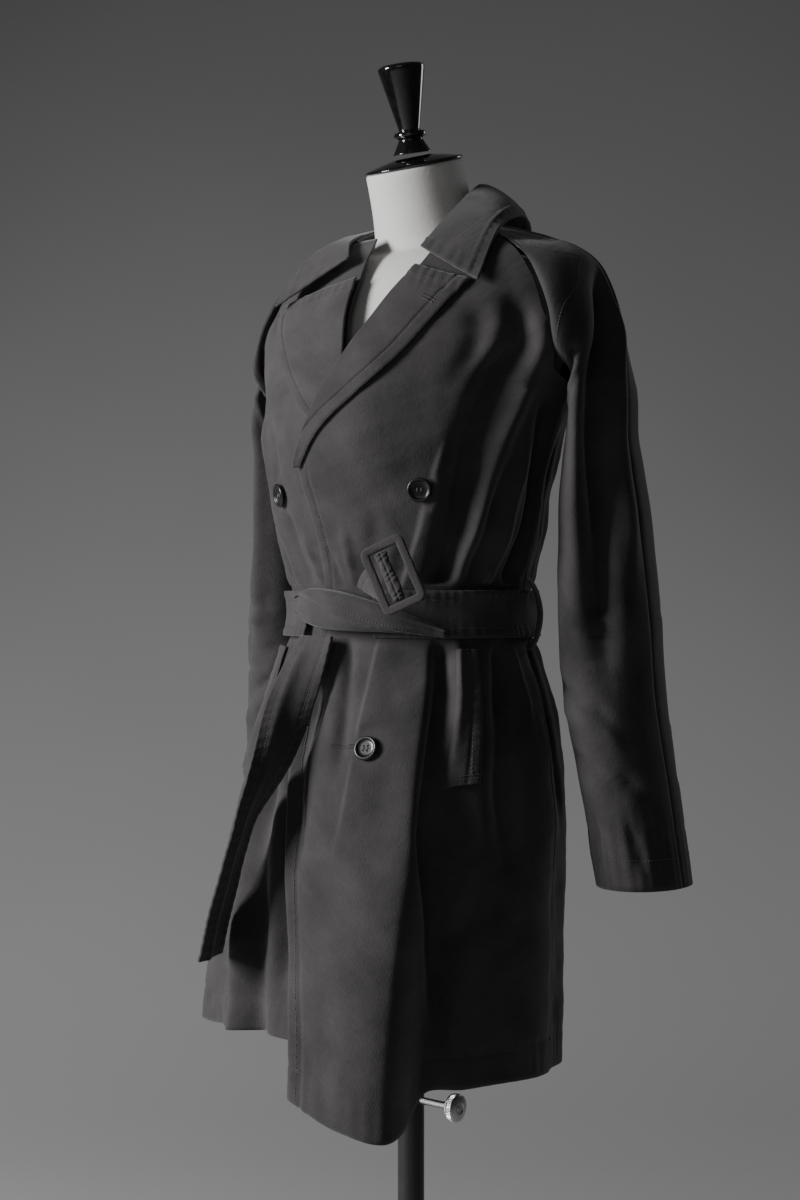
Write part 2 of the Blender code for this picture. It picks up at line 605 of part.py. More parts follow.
def make_buckle():
    """Rectangular buckle frame with a window each side of its bar."""
    curve = bpy.data.curves.new("buckle_frame", "CURVE")
    curve.dimensions = "2D"
    curve.fill_mode = "BOTH"
    curve.extrude = BUCKLE_THICK / 2
    add_spline(curve, rounded_outline(BUCKLE_WIDTH, BUCKLE_LENGTH, BUCKLE_CORNER))
    add_spline(curve, rounded_outline(BUCKLE_WIDTH - 2 * BUCKLE_BAR, BUCKLE_LENGTH - 2 * BUCKLE_BAR,
                                      WINDOW_CORNER))
    thing = bpy.data.objects.new("buckle_curve", curve)
    PARTS.objects.link(thing)
    bpy.context.view_layer.update()
    mesh = bpy.data.meshes.new_from_object(thing.evaluated_get(
        bpy.context.evaluated_depsgraph_get()))
    bpy.data.objects.remove(thing)
    weld(mesh)
    frame = add_object("buckle_frame", mesh, BLACK)
    frame.matrix_world = BUCKLE_PLACE
    middle = cylinder("buckle_bar", BUCKLE_LENGTH / 2 - BUCKLE_BAR - BAR_GAP, BAR_RADIUS, LIGHTER, 12)
    middle.matrix_world = BUCKLE_PLACE @ Matrix.Rotation(math.radians(90), 4, "X")


def weld(mesh):
    """Join a curve's loose caps to its sides."""
    form = bmesh.new()
    form.from_mesh(mesh)
    bmesh.ops.remove_doubles(form, verts=form.verts, dist=0.00001)
    form.to_mesh(mesh)
    form.free()


def cylinder(name, half_length, radius, material, sides=24):
    """A capped cylinder about its local Z."""
    mesh = bpy.data.meshes.new(name)
    form = bmesh.new()
    bmesh.ops.create_cone(form, cap_ends=True, segments=sides, radius1=radius, radius2=radius,
                          depth=2 * half_length)
    form.to_mesh(mesh)
    form.free()
    smooth(mesh)
    return add_object(name, mesh, material)


# ---- Buttons ----------------------------------------------------------------------
def facing(centre, normal):
    """Placement whose local Z points along a normal."""
    frame = Vector(normal).to_track_quat("Z", "Y").to_matrix().to_4x4()
    frame.translation = Vector(centre)
    return frame


def make_button(name, x, z, lift):
    """A turned button with a raised rim, standing just clear of the front."""
    rim = BUTTON_RADIUS
    profile = ((0, BUTTON_THICK * 0.55), (rim * 0.62, BUTTON_THICK * 0.55),
               (rim * 0.74, BUTTON_THICK), (rim * 0.90, BUTTON_THICK),
               (rim, BUTTON_THICK * 0.62), (rim * 0.92, BUTTON_THICK * 0.15), (rim * 0.7, 0), (0, 0))
    thing = turned(name, profile, BLACK, 16)
    inner, outer = place(x, z, lift), place(x, z, lift + 0.01)
    thing.matrix_world = facing(inner, outer - inner)
    return thing


def turned(name, profile, material, steps=40):
    """A profile of (radius, height) from the top axis point down, turned about Z."""
    mesh = bpy.data.meshes.new(name)
    points = [(radius, 0, height) for radius, height in profile]
    mesh.from_pydata(points, [(i, i + 1) for i in range(len(points) - 1)], [])
    thing = add_object(name, mesh, material)
    screw = thing.modifiers.new("turn", "SCREW")
    screw.steps = steps
    screw.render_steps = steps
    screw.use_merge_vertices = True
    screw.merge_threshold = 0.00001
    screw.use_smooth_shade = True
    return thing


def make_buttons():
    """Two rows of two buttons: the right column on the right front, the left on the left."""
    for name, x, z, lift in BUTTONS:
        make_button(name, x, z, lift + BUTTON_CLEAR)


# ---- Dress form and stand ---------------------------------------------------------
def make_form():
    """Torso and tilted neck as one smooth skin of rings, closed at both ends."""
    around = np.linspace(0, 2 * math.pi, 28, endpoint=False)
    levels = np.concatenate([np.linspace(FORM[0][0], FORM[1][0], 2), np.linspace(0.93, 1.38, 13),
                             (1.396, 1.408, 1.416)])
    rings = []
    for z in levels:
        centre_y, width, front, back = along(FORM, z)
        depth = np.where(np.cos(around) > 0, front, back)
        rings.append(np.stack([width * np.sin(around), centre_y - depth * np.cos(around),
                               z + 0 * around], axis=-1))
    tilt = np.array(Matrix.Rotation(NECK_TILT, 3, "X"))
    for share in (0.06, 0.4, 0.8, 0.97, 1.0):
        shrink = 1.0 if share < 1 else 0.96
        flare = NECK_RADIUS * (1 + 0.16 * (1 - share) ** 3) * shrink
        flat = np.stack([flare * np.sin(around), -flare * np.cos(around),
                         NECK_LENGTH * share + 0 * around], axis=-1)
        rings.append(flat @ tilt.T + np.array(NECK_BASE))
    return skin_of_rings("form_torso", np.array(rings), WHITE)


def skin_of_rings(name, rings, material):
    """A closed skin through stacked rings, with a flat fan at each end."""
    count, sides = rings.shape[:2]
    mesh = bpy.data.meshes.new(name)
    form = bmesh.new()
    spots = [[form.verts.new(point) for point in ring] for ring in rings.tolist()]
    for low, high in zip(spots, spots[1:]):
        for i in range(sides):
            j = (i + 1) % sides
            form.faces.new((low[i], low[j], high[j], high[i]))
    form.faces.new(spots[0][::-1])
    form.faces.new(spots[-1])
    form.to_mesh(mesh)
    form.free()
    smooth(mesh, 50)
    return add_object(name, mesh, material)


def bore(thing, radius, bottom, top):
    """Cut a round hole about Z, from below `bottom` up to `top`."""
    cutter = cylinder("cut_" + thing.name, (top - bottom) / 2, radius, DARK, 32)
    cutter.location.z = (top + bottom) / 2
    PARTS.objects.unlink(cutter)
    CUTTERS.objects.link(cutter)
    cutter.hide_render = True
    cutter.display_type = "WIRE"
    cut = thing.modifiers.new("bore", "BOOLEAN")
    cut.operation = "DIFFERENCE"
    cut.solver = "EXACT"
    cut.object = cutter


def make_neck_top():
    """Black neck cap and the turned finial on it, both square to the tilted neck."""
    top = NECK_BASE + Matrix.Rotation(NECK_TILT, 3, "X") @ Vector((0, 0, NECK_LENGTH + 0.0004))
    place_top = Matrix.Translation(top) @ Matrix.Rotation(FINIAL_TILT, 4, "X")
    cap = turned("neck_cap", CAP_PROFILE, BLACK, 28)
    cap.matrix_world = Matrix.Translation(top) @ Matrix.Rotation(NECK_TILT, 4, "X")
    finial = turned("finial", FINIAL_PROFILE, BLACK, 24)
    finial.matrix_world = place_top @ Matrix.Translation((0, 0, FINIAL_RISE))


def make_stand():
    """Round weighted base, outer tube with its clamp, and the sliding rod."""
    turned("stand_base", BASE_PROFILE, IRON, 40)
    tube_profile = ((TUBE_BORE, TUBE_TOP), (TUBE_RADIUS, TUBE_TOP), (TUBE_RADIUS, TUBE_FOOT),
                    (TUBE_BORE, TUBE_FOOT), (TUBE_BORE, TUBE_TOP))
    turned("stand_tube", tube_profile, IRON, 28)
    rod = cylinder("sliding_rod", (FORM_BOTTOM + SOCKET_DEPTH - ROD_BOTTOM) / 2, ROD_RADIUS, IRON)
    rod.location.z = (FORM_BOTTOM + SOCKET_DEPTH + ROD_BOTTOM) / 2
    along_x = Matrix.Rotation(math.radians(90), 4, "Y")
    screw_start = TUBE_RADIUS + 0.0004
    screw = cylinder("clamp_screw", (WHEEL_X - screw_start) / 2, 0.0038, STEEL, 16)
    screw.matrix_world = Matrix.Translation(((WHEEL_X + screw_start) / 2, 0, CLAMP_Z)) @ along_x
    wheel = turned("clamp_wheel", WHEEL_PROFILE, STEEL, 28)
    wheel.matrix_world = Matrix.Translation((WHEEL_X + 0.0004, 0, CLAMP_Z)) @ along_x


# ---- Assembly ---------------------------------------------------------------------
clear_scene()
PARTS = new_collection("trench_coat_on_dress_form")
CUTTERS = new_collection("cutters")
DARK = new_material("charcoal cotton twill", (0.030, 0.028, 0.029), 0.85)
LIGHTER = new_material("charcoal twill trims", (0.040, 0.037, 0.038), 0.85)
BLACK = new_material("black horn", (0.012, 0.011, 0.011), 0.25)
WHITE = new_material("off-white linen", (0.72, 0.70, 0.67), 0.80)
IRON = new_material("black painted iron", (0.012, 0.012, 0.012), 0.40)
STEEL = new_material("bright steel", (0.55, 0.55, 0.55), 0.35, 1.0)

BUCKLE_PLACE = plate_matrix(BUCKLE_CENTRE, BUCKLE_LONG, BUCKLE_SHORT)

make_form()
make_neck_top()
make_stand()
bore(bpy.data.objects["form_torso"], ROD_RADIUS + SLIDE_GAP, FORM_BOTTOM - 0.02,
     FORM_BOTTOM + SOCKET_DEPTH + SLIDE_GAP)
make_back()
make_fronts()
make_sleeves()
make_lapels()
make_collar()
make_welts()
make_belt()
make_belt_loops()
ribbon("belt_knot", knot_route(), LIGHTER)
ribbon("belt_tail", TAIL, LIGHTER, 19)
ribbon("belt_strap", STRAP_ROUTE, LIGHTER, 7)
make_buckle()
make_buttons()
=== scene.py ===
"""Looks of a belted raglan trench coat on a limbless dress form with a round stand.

Every cloth piece is a function of two shares, down and across, from 0 to 1. Its drape is
a sum of soft ridges and troughs, each with its own line, width and height, so the outer
face is the coat's plain shape moved out along its normal.
"""
import math

import bmesh
import bpy
import numpy as np
from mathutils import Matrix, Vector


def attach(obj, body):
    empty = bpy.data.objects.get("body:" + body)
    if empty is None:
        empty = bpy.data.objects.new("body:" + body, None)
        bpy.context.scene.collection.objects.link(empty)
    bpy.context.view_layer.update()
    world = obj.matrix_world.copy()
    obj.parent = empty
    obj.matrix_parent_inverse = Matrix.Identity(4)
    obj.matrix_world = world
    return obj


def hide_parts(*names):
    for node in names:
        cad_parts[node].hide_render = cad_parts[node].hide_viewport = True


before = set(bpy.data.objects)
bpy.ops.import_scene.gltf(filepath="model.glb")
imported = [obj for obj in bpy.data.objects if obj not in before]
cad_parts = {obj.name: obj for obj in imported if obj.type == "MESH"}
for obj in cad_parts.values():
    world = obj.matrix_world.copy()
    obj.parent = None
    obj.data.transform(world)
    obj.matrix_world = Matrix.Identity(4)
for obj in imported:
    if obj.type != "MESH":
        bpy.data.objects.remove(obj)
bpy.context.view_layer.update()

# ---- The coat's sections, in metres -----------------------------------------------
SEAM_GAP = 0.0006
SLEEVE_SEAM_GAP = 0.0036
LAYER = 0.0042
WAIST_Z = 1.036
BELT_WIDTH = 0.050
UNDERARM_Z = 1.262
LAPEL_BREAK_Z = 1.181
SIDE_SEAM = math.radians(96)
NECK_TILT = math.radians(18)
NECK_RADIUS = 0.0520
NECK_BASE = Vector((0, 0.034, 1.420))
NECK_LENGTH = 0.092
FINIAL_TILT = math.radians(13)
FINIAL_RISE = 0.0128
BUTTON_CLEAR = 0.0012
WHEEL_X = 0.0525
CLAMP_Z = 0.525

# Coat body: height, centre x, centre y, half width, depth to the front, to the back.
BODY = (
    (0.540, -0.020, 0.000, 0.184, 0.214, 0.092),
    (0.600, -0.020, 0.000, 0.184, 0.210, 0.095),
    (0.720, -0.015, 0.000, 0.181, 0.194, 0.108),
    (0.860, -0.005, 0.000, 0.174, 0.162, 0.121),
    (0.960, 0.000, 0.000, 0.153, 0.127, 0.111),
    (1.005, 0.000, 0.000, 0.139, 0.112, 0.103),
    (1.036, 0.000, 0.000, 0.134, 0.107, 0.100),
    (1.067, 0.000, 0.000, 0.137, 0.111, 0.101),
    (1.110, 0.000, 0.000, 0.148, 0.122, 0.104),
    (1.180, 0.000, 0.004, 0.159, 0.141, 0.106),
    (1.225, 0.001, 0.010, 0.170, 0.147, 0.108),
    (1.265, 0.004, 0.020, 0.184, 0.150, 0.106),
    (1.300, 0.009, 0.033, 0.205, 0.153, 0.097),
    (1.340, 0.010, 0.042, 0.214, 0.146, 0.086),
    (1.370, 0.010, 0.045, 0.206, 0.130, 0.078),
    (1.400, 0.008, 0.045, 0.183, 0.108, 0.068),
    (1.420, 0.004, 0.045, 0.147, 0.088, 0.060),
    (1.436, 0.000, 0.043, 0.110, 0.072, 0.052),
    (1.452, 0.000, 0.040, 0.078, 0.056, 0.046),
)
# Skirt folds: angle, spread to the right, spread to the left (degrees), rise at the hem.
FOLDS = (
    (-150, 11, 11, 0.016),
    (-118, 12, 10, 0.014),
    (-62, 13, 12, 0.018),
    (-36, 9, 9, -0.012),
    (12, 14, 12, 0.004),
    (38, 17, 6, 0.046),
    (50, 6, 9, -0.016),
    (84, 12, 13, 0.010),
    (118, 12, 12, 0.015),
    (152, 11, 12, 0.014),
    (180, 10, 10, -0.008),
)
FOLD_TOP = 1.000          # the folds start under the belt
FOLD_BOTTOM = 0.560
# Hem height round the body: angle (degrees), height.
HEM = ((-180, 0.580), (-130, 0.588), (-96, 0.600), (-60, 0.606), (-30, 0.618), (-6, 0.630))
HEM_LEFT = ((-8, 0.594), (2, 0.588), (20, 0.566), (30, 0.556), (42, 0.552), (50, 0.576), (62, 0.580),
            (96, 0.580), (130, 0.580), (180, 0.580))
# Front edges and lapel roll lines: height, x.
LEFT_EDGE = ((0.540, 0.018), (0.620, 0.016), (0.700, 0.004), (0.800, -0.020), (0.900, -0.038),
             (0.955, -0.044), (1.000, -0.034), (1.050, -0.024), (1.100, -0.022), (1.181, -0.030),
             (1.240, -0.007), (1.296, 0.026), (1.340, 0.055), (1.389, 0.076), (1.440, 0.080))
RIGHT_EDGE = ((0.540, 0.048), (0.620, 0.044), (0.700, 0.030), (0.800, 0.006), (0.900, -0.012),
              (0.970, -0.010), (1.020, 0.010), (1.120, 0.034), (1.200, 0.027), (1.260, 0.018),
              (1.300, 0.011), (1.340, 0.002), (1.389, -0.006), (1.440, -0.022))
# Raglan seams on the body: height, x of the front seam, x of the back seam.
RAGLAN = ((1.262, 0.184, 0.184), (1.300, 0.196, 0.176), (1.337, 0.190, 0.160),
          (1.371, 0.173, 0.138), (1.398, 0.148, 0.112), (1.420, 0.108, 0.084),
          (1.436, 0.080, 0.062))
FRONT_TOP = 1.428         # the neck seam's height at the front raglan seams
BACK_TOP = 1.444

# Sleeve cap rows: over-arm point, front bulge, back bulge, heights of the front and back seams.
SLEEVE_CAP = (
    ((0.084, 0.030, 1.440), (0.086, 0.006, 1.434), (0.080, 0.052, 1.442), 1.427, 1.438),
    ((0.132, 0.046, 1.425), (0.134, 0.004, 1.417), (0.118, 0.074, 1.422), 1.414, 1.414),
    ((0.170, 0.050, 1.411), (0.173, -0.002, 1.402), (0.152, 0.086, 1.401), 1.394, 1.386),
    ((0.202, 0.051, 1.386), (0.200, -0.010, 1.380), (0.174, 0.094, 1.372), 1.366, 1.348),
    ((0.220, 0.052, 1.346), (0.217, -0.016, 1.342), (0.190, 0.097, 1.334), 1.330, 1.312),
    ((0.226, 0.053, 1.306), (0.222, -0.020, 1.303), (0.197, 0.101, 1.298), 1.292, 1.284),
)
# Sleeve tube: height, centre x, centre y, half width, depth to the front and to the back.
SLEEVE_TUBE = (
    (1.262, 0.213, 0.046, 0.0205, 0.062, 0.050),
    (1.215, 0.207, 0.050, 0.0255, 0.062, 0.054),
    (1.150, 0.205, 0.055, 0.0365, 0.065, 0.060),
    (1.030, 0.209, 0.058, 0.0460, 0.066, 0.064),
    (0.950, 0.215, 0.058, 0.0465, 0.064, 0.063),
    (0.860, 0.231, 0.060, 0.0450, 0.060, 0.060),
    (0.768, 0.247, 0.060, 0.0440, 0.057, 0.057),
)
# How much nearer the body the right sleeve lies than a mirrored left one: height, distance.
RIGHT_TUCK = ((0.768, 0.014), (0.920, 0.006), (1.030, -0.006), (1.150, 0.000), (1.215, 0.002),
              (1.262, 0.008), (1.300, 0.021), (1.340, 0.029), (1.400, 0.020), (1.445, 0.004))
OVERARM_GAP = 0.0030       # room at the over-arm seam by the neck, where the walls stand up
INNER_MARGIN = 0.060       # angle left free at the inner seam by the cuff
CAP_FLATNESS = 0.3         # how much flatter than an ellipse the cap leaves the raglan seam
CAP_ROWS = 0.62            # share of the sleeve's rows where the flatness has gone
CAP_FADE = 0.20

# Dress form: height, centre y, half width, depth to the front, depth to the back.
FORM = (
    (0.900, 0.000, 0.138, 0.098, 0.094),
    (0.912, 0.000, 0.145, 0.105, 0.100),
    (0.950, 0.000, 0.137, 0.100, 0.096),
    (1.036, 0.000, 0.117, 0.088, 0.080),
    (1.120, 0.000, 0.130, 0.104, 0.086),
    (1.190, 0.002, 0.144, 0.124, 0.094),
    (1.250, 0.012, 0.154, 0.131, 0.096),
    (1.310, 0.030, 0.168, 0.132, 0.084),
    (1.360, 0.038, 0.172, 0.118, 0.074),
    (1.390, 0.040, 0.156, 0.099, 0.066),
    (1.408, 0.040, 0.110, 0.078, 0.055),
    (1.420, 0.036, 0.066, 0.058, 0.050),
)


# Lapels: height of the roll-line point, x of the outer edge there, how far the edge drops.
LEFT_LAPEL = ((1.183, -0.024, 0.000), (1.222, 0.000, 0.006), (1.262, 0.040, 0.012),
              (1.300, 0.080, 0.012), (1.340, 0.108, 0.014), (1.374, 0.128, 0.014))
RIGHT_LAPEL = ((1.208, 0.006, 0.000), (1.235, -0.026, 0.002), (1.270, -0.055, 0.010),
               (1.310, -0.088, 0.012), (1.345, -0.112, 0.012), (1.376, -0.122, 0.016))
LAPEL_LIFT = 0.0042
LAPEL_ROOM = 0.0070       # room for the right lapel under the left front
ROLL_HEIGHT = 0.002
# Collar lines from the right front round the back of the neck to the left front: x, y, z.
STAND_SEAM = ((-0.058, -0.016, 1.428), (-0.070, 0.008, 1.434), (-0.074, 0.036, 1.440),
              (-0.052, 0.080, 1.454), (0.000, 0.097, 1.458), (0.054, 0.080, 1.456),
              (0.075, 0.036, 1.448), (0.074, 0.006, 1.442), (0.068, -0.018, 1.436))
COLLAR_FOLD = ((-0.020, -0.078, 1.400), (-0.049, -0.036, 1.428), (-0.063, 0.030, 1.452),
               (-0.047, 0.076, 1.478), (0.000, 0.092, 1.490), (0.044, 0.074, 1.490),
               (0.062, 0.034, 1.482), (0.069, -0.018, 1.447), (0.069, -0.074, 1.402))
COLLAR_EDGE = ((-0.112, -0.086, 1.358), (-0.112, -0.036, 1.414), (-0.106, 0.046, 1.440),
               (-0.066, 0.116, 1.438), (0.000, 0.134, 1.436), (0.068, 0.116, 1.440),
               (0.110, 0.046, 1.446), (0.130, -0.024, 1.420), (0.141, -0.076, 1.360))
STAND_RANGE = (0.13, 0.87)  # shares of the fold line that the stand carries
COLLAR_SWELL = 0.008
STAND_INSET = 0.0036
FLAP_LIFT = 0.0076
BELT_LIFT = 0.0088
BELT_START = 16           # angles of the waist belt's ends, in degrees
BELT_END = 338
LOOP_HEIGHT = 0.074
LOOP_FOOT = 0.0026
LOOP_RISE = 0.0190
LOOP_HALF_ANGLE = 2.6
FINIAL_TILT = math.radians(13)
FINIAL_RISE = 0.0128
# Free end of the belt, turning edge-on as it falls: centre x, y, z, then half the width.
TAIL = ((-0.0260, -0.1235, 1.0140, 0.0245, -0.0043, 0.0), (-0.0262, -0.1580, 0.9550, 0.0190, 0.0148, 0.0),
        (-0.0299, -0.1829, 0.8930, 0.0065, 0.0241, 0.0), (-0.0530, -0.1995, 0.8260, -0.0076, 0.0239, 0.0),
        (-0.0690, -0.2090, 0.7600, -0.0076, 0.0239, 0.0), (-0.0815, -0.2170, 0.6980, -0.0076, 0.0239, 0.0))
# Knot band over the front of the belt: angle (degrees), height, distance off the coat, half width.
KNOT = ((-26, 1.047, 0.0150, 0.0070), (-15, 1.046, 0.0190, 0.0170), (-3, 1.043, 0.0230, 0.0200),
        (11, 1.037, 0.0250, 0.0180), (27, 1.027, 0.0210, 0.0120), (47, 1.014, 0.0150, 0.0040))
# Strap from behind the buckle down to the knot: centre x, y, z, then half the width.
STRAP_ROUTE = ((0.0765, -0.1500, 1.0650, 0.0090, 0.0018, -0.0198),
               (0.0640, -0.1450, 1.0600, 0.0120, 0.0010, -0.0150),
               (0.0520, -0.1360, 1.0560, 0.0140, 0.0000, -0.0070))
BUCKLE_WIDTH = 0.046
BUCKLE_LENGTH = 0.070
BUCKLE_BAR = 0.0085
BUCKLE_THICK = 0.0045
BUCKLE_CENTRE = (0.094, -0.150, 1.074)
BUCKLE_LONG = (0.030, 0.006, -0.066)
BUCKLE_SHORT = (0.042, 0.018, 0.013)
# Buttons: node, x, height, and the layers of cloth below.
BUTTONS = (("button_upper_left", 0.093, 1.158, 0.0042), ("button_upper_right", -0.080, 1.158, 0.0),
           ("button_lower_left", 0.056, 0.904, 0.0042), ("button_lower_right", -0.104, 0.906, 0.0))
# Turned profiles: radius, height, from the top down.
CAP_PROFILE = ((0.0, 0.0105), (0.020, 0.0100), (0.036, 0.0068), (0.0505, 0.0034),
               (0.0530, 0.0018), (0.0520, 0.0), (0.0, 0.0))
FINIAL_PROFILE = ((0.0, 0.0925), (0.0215, 0.0915), (0.0250, 0.0890), (0.0245, 0.0850),
                  (0.0115, 0.0265), (0.0110, 0.0245), (0.0165, 0.0225), (0.0175, 0.0195),
                  (0.0160, 0.0170), (0.0125, 0.0150), (0.0140, 0.0125), (0.0185, 0.0040),
                  (0.0210, 0.0004), (0.0, 0.0004))
BASE_PROFILE = ((0.0, 0.0540), (0.022, 0.0540), (0.026, 0.0500), (0.028, 0.0360),
                (0.060, 0.0280), (0.150, 0.0240), (0.188, 0.0190), (0.195, 0.0120),
                (0.195, 0.0030), (0.192, 0.0), (0.0, 0.0))


# ---- Number tools -----------------------------------------------------------------
def along(table, at):
    """Columns of a table at the keys `at`: a cubic through its rows, with the slope at
    each row taken from the rows on both sides."""
    rows = np.array(table, dtype=float)
    key, values = rows[:, 0], rows[:, 1:]
    slope = np.gradient(values, key, axis=0)
    at = np.clip(np.asarray(at, dtype=float), key[0], key[-1])
    i = np.clip(np.searchsorted(key, at) - 1, 0, len(key) - 2)
    step = (key[i + 1] - key[i])[..., None]
    t = (at - key[i])[..., None] / step
    start = (2 * t**3 - 3 * t**2 + 1) * values[i] + (t**3 - 2 * t**2 + t) * step * slope[i]
    end = (3 * t**2 - 2 * t**3) * values[i + 1] + (t**3 - t**2) * step * slope[i + 1]
    return start + end


def ramp(x):
    """Smooth step from 0 to 1."""
    x = np.clip(x, 0.0, 1.0)
    return x * x * (3 - 2 * x)


def even_key(rows):
    """Rows with a first column of equal steps from 0 to 1."""
    rows = np.array(rows, dtype=float)
    return np.concatenate([np.linspace(0, 1, len(rows))[:, None], rows], axis=1)


def grid(rows, columns):
    """Down and across shares from 0 to 1 as two arrays of one shape."""
    return np.meshgrid(np.linspace(0, 1, rows), np.linspace(0, 1, columns), indexing="ij")


def uneven(u, v, seed, size):
    """Soft lumps between -1 and 1: four crossed waves of unequal length and direction."""
    total = 0
    for i in range(4):
        turn = 0.9 + 1.7 * i + seed
        pitch = size * (0.7 + 0.31 * i)
        wave = (u * math.cos(turn) + v * math.sin(turn)) * 2 * math.pi / pitch
        total = total + np.sin(wave + 2.3 * seed + i + 0.8 * np.sin(wave * 0.37 + seed))
    return total / 4


def creases(table, u, v):
    """Sum of folds. A fold follows its line of (u, v) points; across the line it is a bell
    exp(-(distance / width)^2), wider on the far side by `lean`, and it fades in and out
    over the given shares of its length."""
    total = np.zeros(np.broadcast(u, v).shape)
    for rise, width, lean, fade_in, fade_out, *line in table:
        line = np.array(line, dtype=float)
        span = np.ptp(line, axis=0)
        upright = span[1] > span[0]
        key, side = (1, 0) if upright else (0, 1)
        line = line[np.argsort(line[:, key])]
        at, off = (v, u) if upright else (u, v)
        share = (at - line[0, key]) / (line[-1, key] - line[0, key])
        if upright:
            share = 1 - share
        centre = along(line[:, (key, side)], at)[..., 0]
        tilt = span[side] / max(span[key], 1e-6)
        away = (off - centre) / math.sqrt(1 + tilt * tilt)
        reach = np.where(away > 0, width * lean, width / lean)
        rough = 1 + 0.18 * np.sin(share * 17 + line[0, 0] * 90 + rise * 900)
        ends = ramp(share / fade_in) * ramp((1 - share) / fade_out)
        total = total + rise * rough * ends * np.exp(-(away / reach) ** 2)
    return total


def normals_of(surface, down, across):
    """Unit outward normals of a surface of two shares, by small steps both ways."""
    small = 0.002
    low_d, high_d = np.clip(down - small, 0, 1), np.clip(down + small, 0, 1)
    low_a, high_a = np.clip(across - small, 0, 1), np.clip(across + small, 0, 1)
    right = surface(down, high_a) - surface(down, low_a)
    up = surface(low_d, across) - surface(high_d, across)
    normal = np.cross(right, up)
    return normal / np.maximum(np.linalg.norm(normal, axis=-1, keepdims=True), 1e-12)


# ---- Materials --------------------------------------------------------------------
class Amount:
    """A number socket; + - * / and power make Math nodes."""

    def __init__(self, finish, socket):
        self.finish, self.socket = finish, socket

    def math(self, operation, first, second):
        node = self.finish.node("ShaderNodeMath", {"operation": operation}, {0: first, 1: second})
        return Amount(self.finish, node.outputs[0])

    def __add__(self, other):
        return self.math("ADD", self, other)

    def __radd__(self, other):
        return self.math("ADD", other, self)

    def __sub__(self, other):
        return self.math("SUBTRACT", self, other)

    def __rsub__(self, other):
        return self.math("SUBTRACT", other, self)

    def __mul__(self, other):
        return self.math("MULTIPLY", self, other)

    def __rmul__(self, other):
        return self.math("MULTIPLY", other, self)

    def __pow__(self, other):
        return self.math("POWER", self, other)


class Finish:
    """A named material with one Principled shader."""

    def __init__(self, name, constants):
        self.material = bpy.data.materials.new(name)
        self.material.use_nodes = True
        self.tree = self.material.node_tree
        self.shader = self.tree.nodes["Principled BSDF"]
        self.fill(self.shader, constants)

    def fill(self, node, sockets):
        """Set or link a node's sockets."""
        for key, value in sockets.items():
            socket = node.inputs[key]
            if isinstance(value, Amount):
                self.tree.links.new(value.socket, socket)
            elif isinstance(value, bpy.types.NodeSocket):
                self.tree.links.new(value, socket)
            else:
                socket.default_value = value

    def node(self, kind, settings, sockets):
        """A node with its settings set first, then its sockets."""
        made = self.tree.nodes.new(kind)
        for key, value in settings.items():
            setattr(made, key, value)
        self.fill(made, sockets)
        return made

    def place(self, source, scale=(1, 1, 1), turn=0.0):
        """Coordinates: the piece's UV map or its object space, scaled and turned."""
        spot = self.node("ShaderNodeTexCoord", {}, {}).outputs[source]
        return self.node("ShaderNodeMapping", {}, {"Vector": spot, "Scale": scale,
                                                   "Rotation": (0, 0, turn)}).outputs["Vector"]

    def noise(self, place, scale, detail=2.0, roughness=0.5):
        """Soft noise as a number."""
        made = self.node("ShaderNodeTexNoise", {}, {"Vector": place, "Scale": scale,
                                                    "Detail": detail, "Roughness": roughness})
        return Amount(self, made.outputs["Fac"])

    def colour(self, share, first, second):
        """Mix of two colours by a number."""
        made = self.node("ShaderNodeMix", {"data_type": "RGBA"}, {0: share, 6: (*first, 1), 7: (*second, 1)})
        return made.outputs[2]

    def bump(self, height, depth, strength=1.0):
        """A bump into the shader's normal."""
        made = self.node("ShaderNodeBump", {}, {"Height": height, "Distance": depth,
                                                "Strength": strength})
        self.fill(self.shader, {"Normal": made.outputs["Normal"]})

    def clamp(self, value, low, high):
        """A number spread from low..high to 0..1 and held there."""
        made = self.node("ShaderNodeMapRange", {}, {"Value": value, "From Min": low, "From Max": high})
        return Amount(self, made.outputs["Result"])


def twill(name, dark, light):
    """Cotton twill: fine slanting ribs, a slub every few threads, soft worn patches."""
    made = Finish(name, {"Roughness": 0.86, "Sheen Weight": 0.22, "Sheen Roughness": 0.45,
                         "Specular IOR Level": 0.32})
    ribs = made.noise(made.place("UV", (900, 240, 1), 0.0), 1.0, 2.0, 0.55)
    slant = made.noise(made.place("UV", (1300, 300, 1), math.radians(58)), 1.0, 1.0)
    patches = made.noise(made.place("UV"), 16.0, 3.0, 0.6)
    share = made.clamp(0.35 * ribs + 0.30 * slant + 0.95 * patches, 0.52, 1.06)
    made.fill(made.shader, {"Base Color": made.colour(share, dark, light)})
    small = made.noise(made.place("UV"), 110.0, 3.0, 0.6)
    made.bump(slant * 0.5 + ribs * 0.3 + small * 0.9, 0.0011, 0.55)
    return made.material


def thread(name, dark, light):
    """Twisted sewing thread with a slight shine."""
    made = Finish(name, {"Roughness": 0.55, "Sheen Weight": 0.1})
    share = made.clamp(made.noise(made.place("Object"), 900.0, 1.0), 0.35, 0.65)
    made.fill(made.shader, {"Base Color": made.colour(share, dark, light)})
    return made.material


def polished(name, dark, light, roughness, coat, grain):
    """Smooth black turned or moulded surface with faint streaks under a clear coat."""
    made = Finish(name, {"Coat Weight": coat, "Coat Roughness": 0.06})
    streaks = made.noise(made.place("Object", grain), 1.0, 3.0)
    share = made.clamp(streaks, 0.35, 0.70)
    made.fill(made.shader, {"Base Color": made.colour(share, dark, light),
                            "Roughness": roughness + 0.14 * (streaks - 0.5)})
    made.bump(made.noise(made.place("Object"), 60.0, 2.0), 0.0004, 0.25)
    return made.material


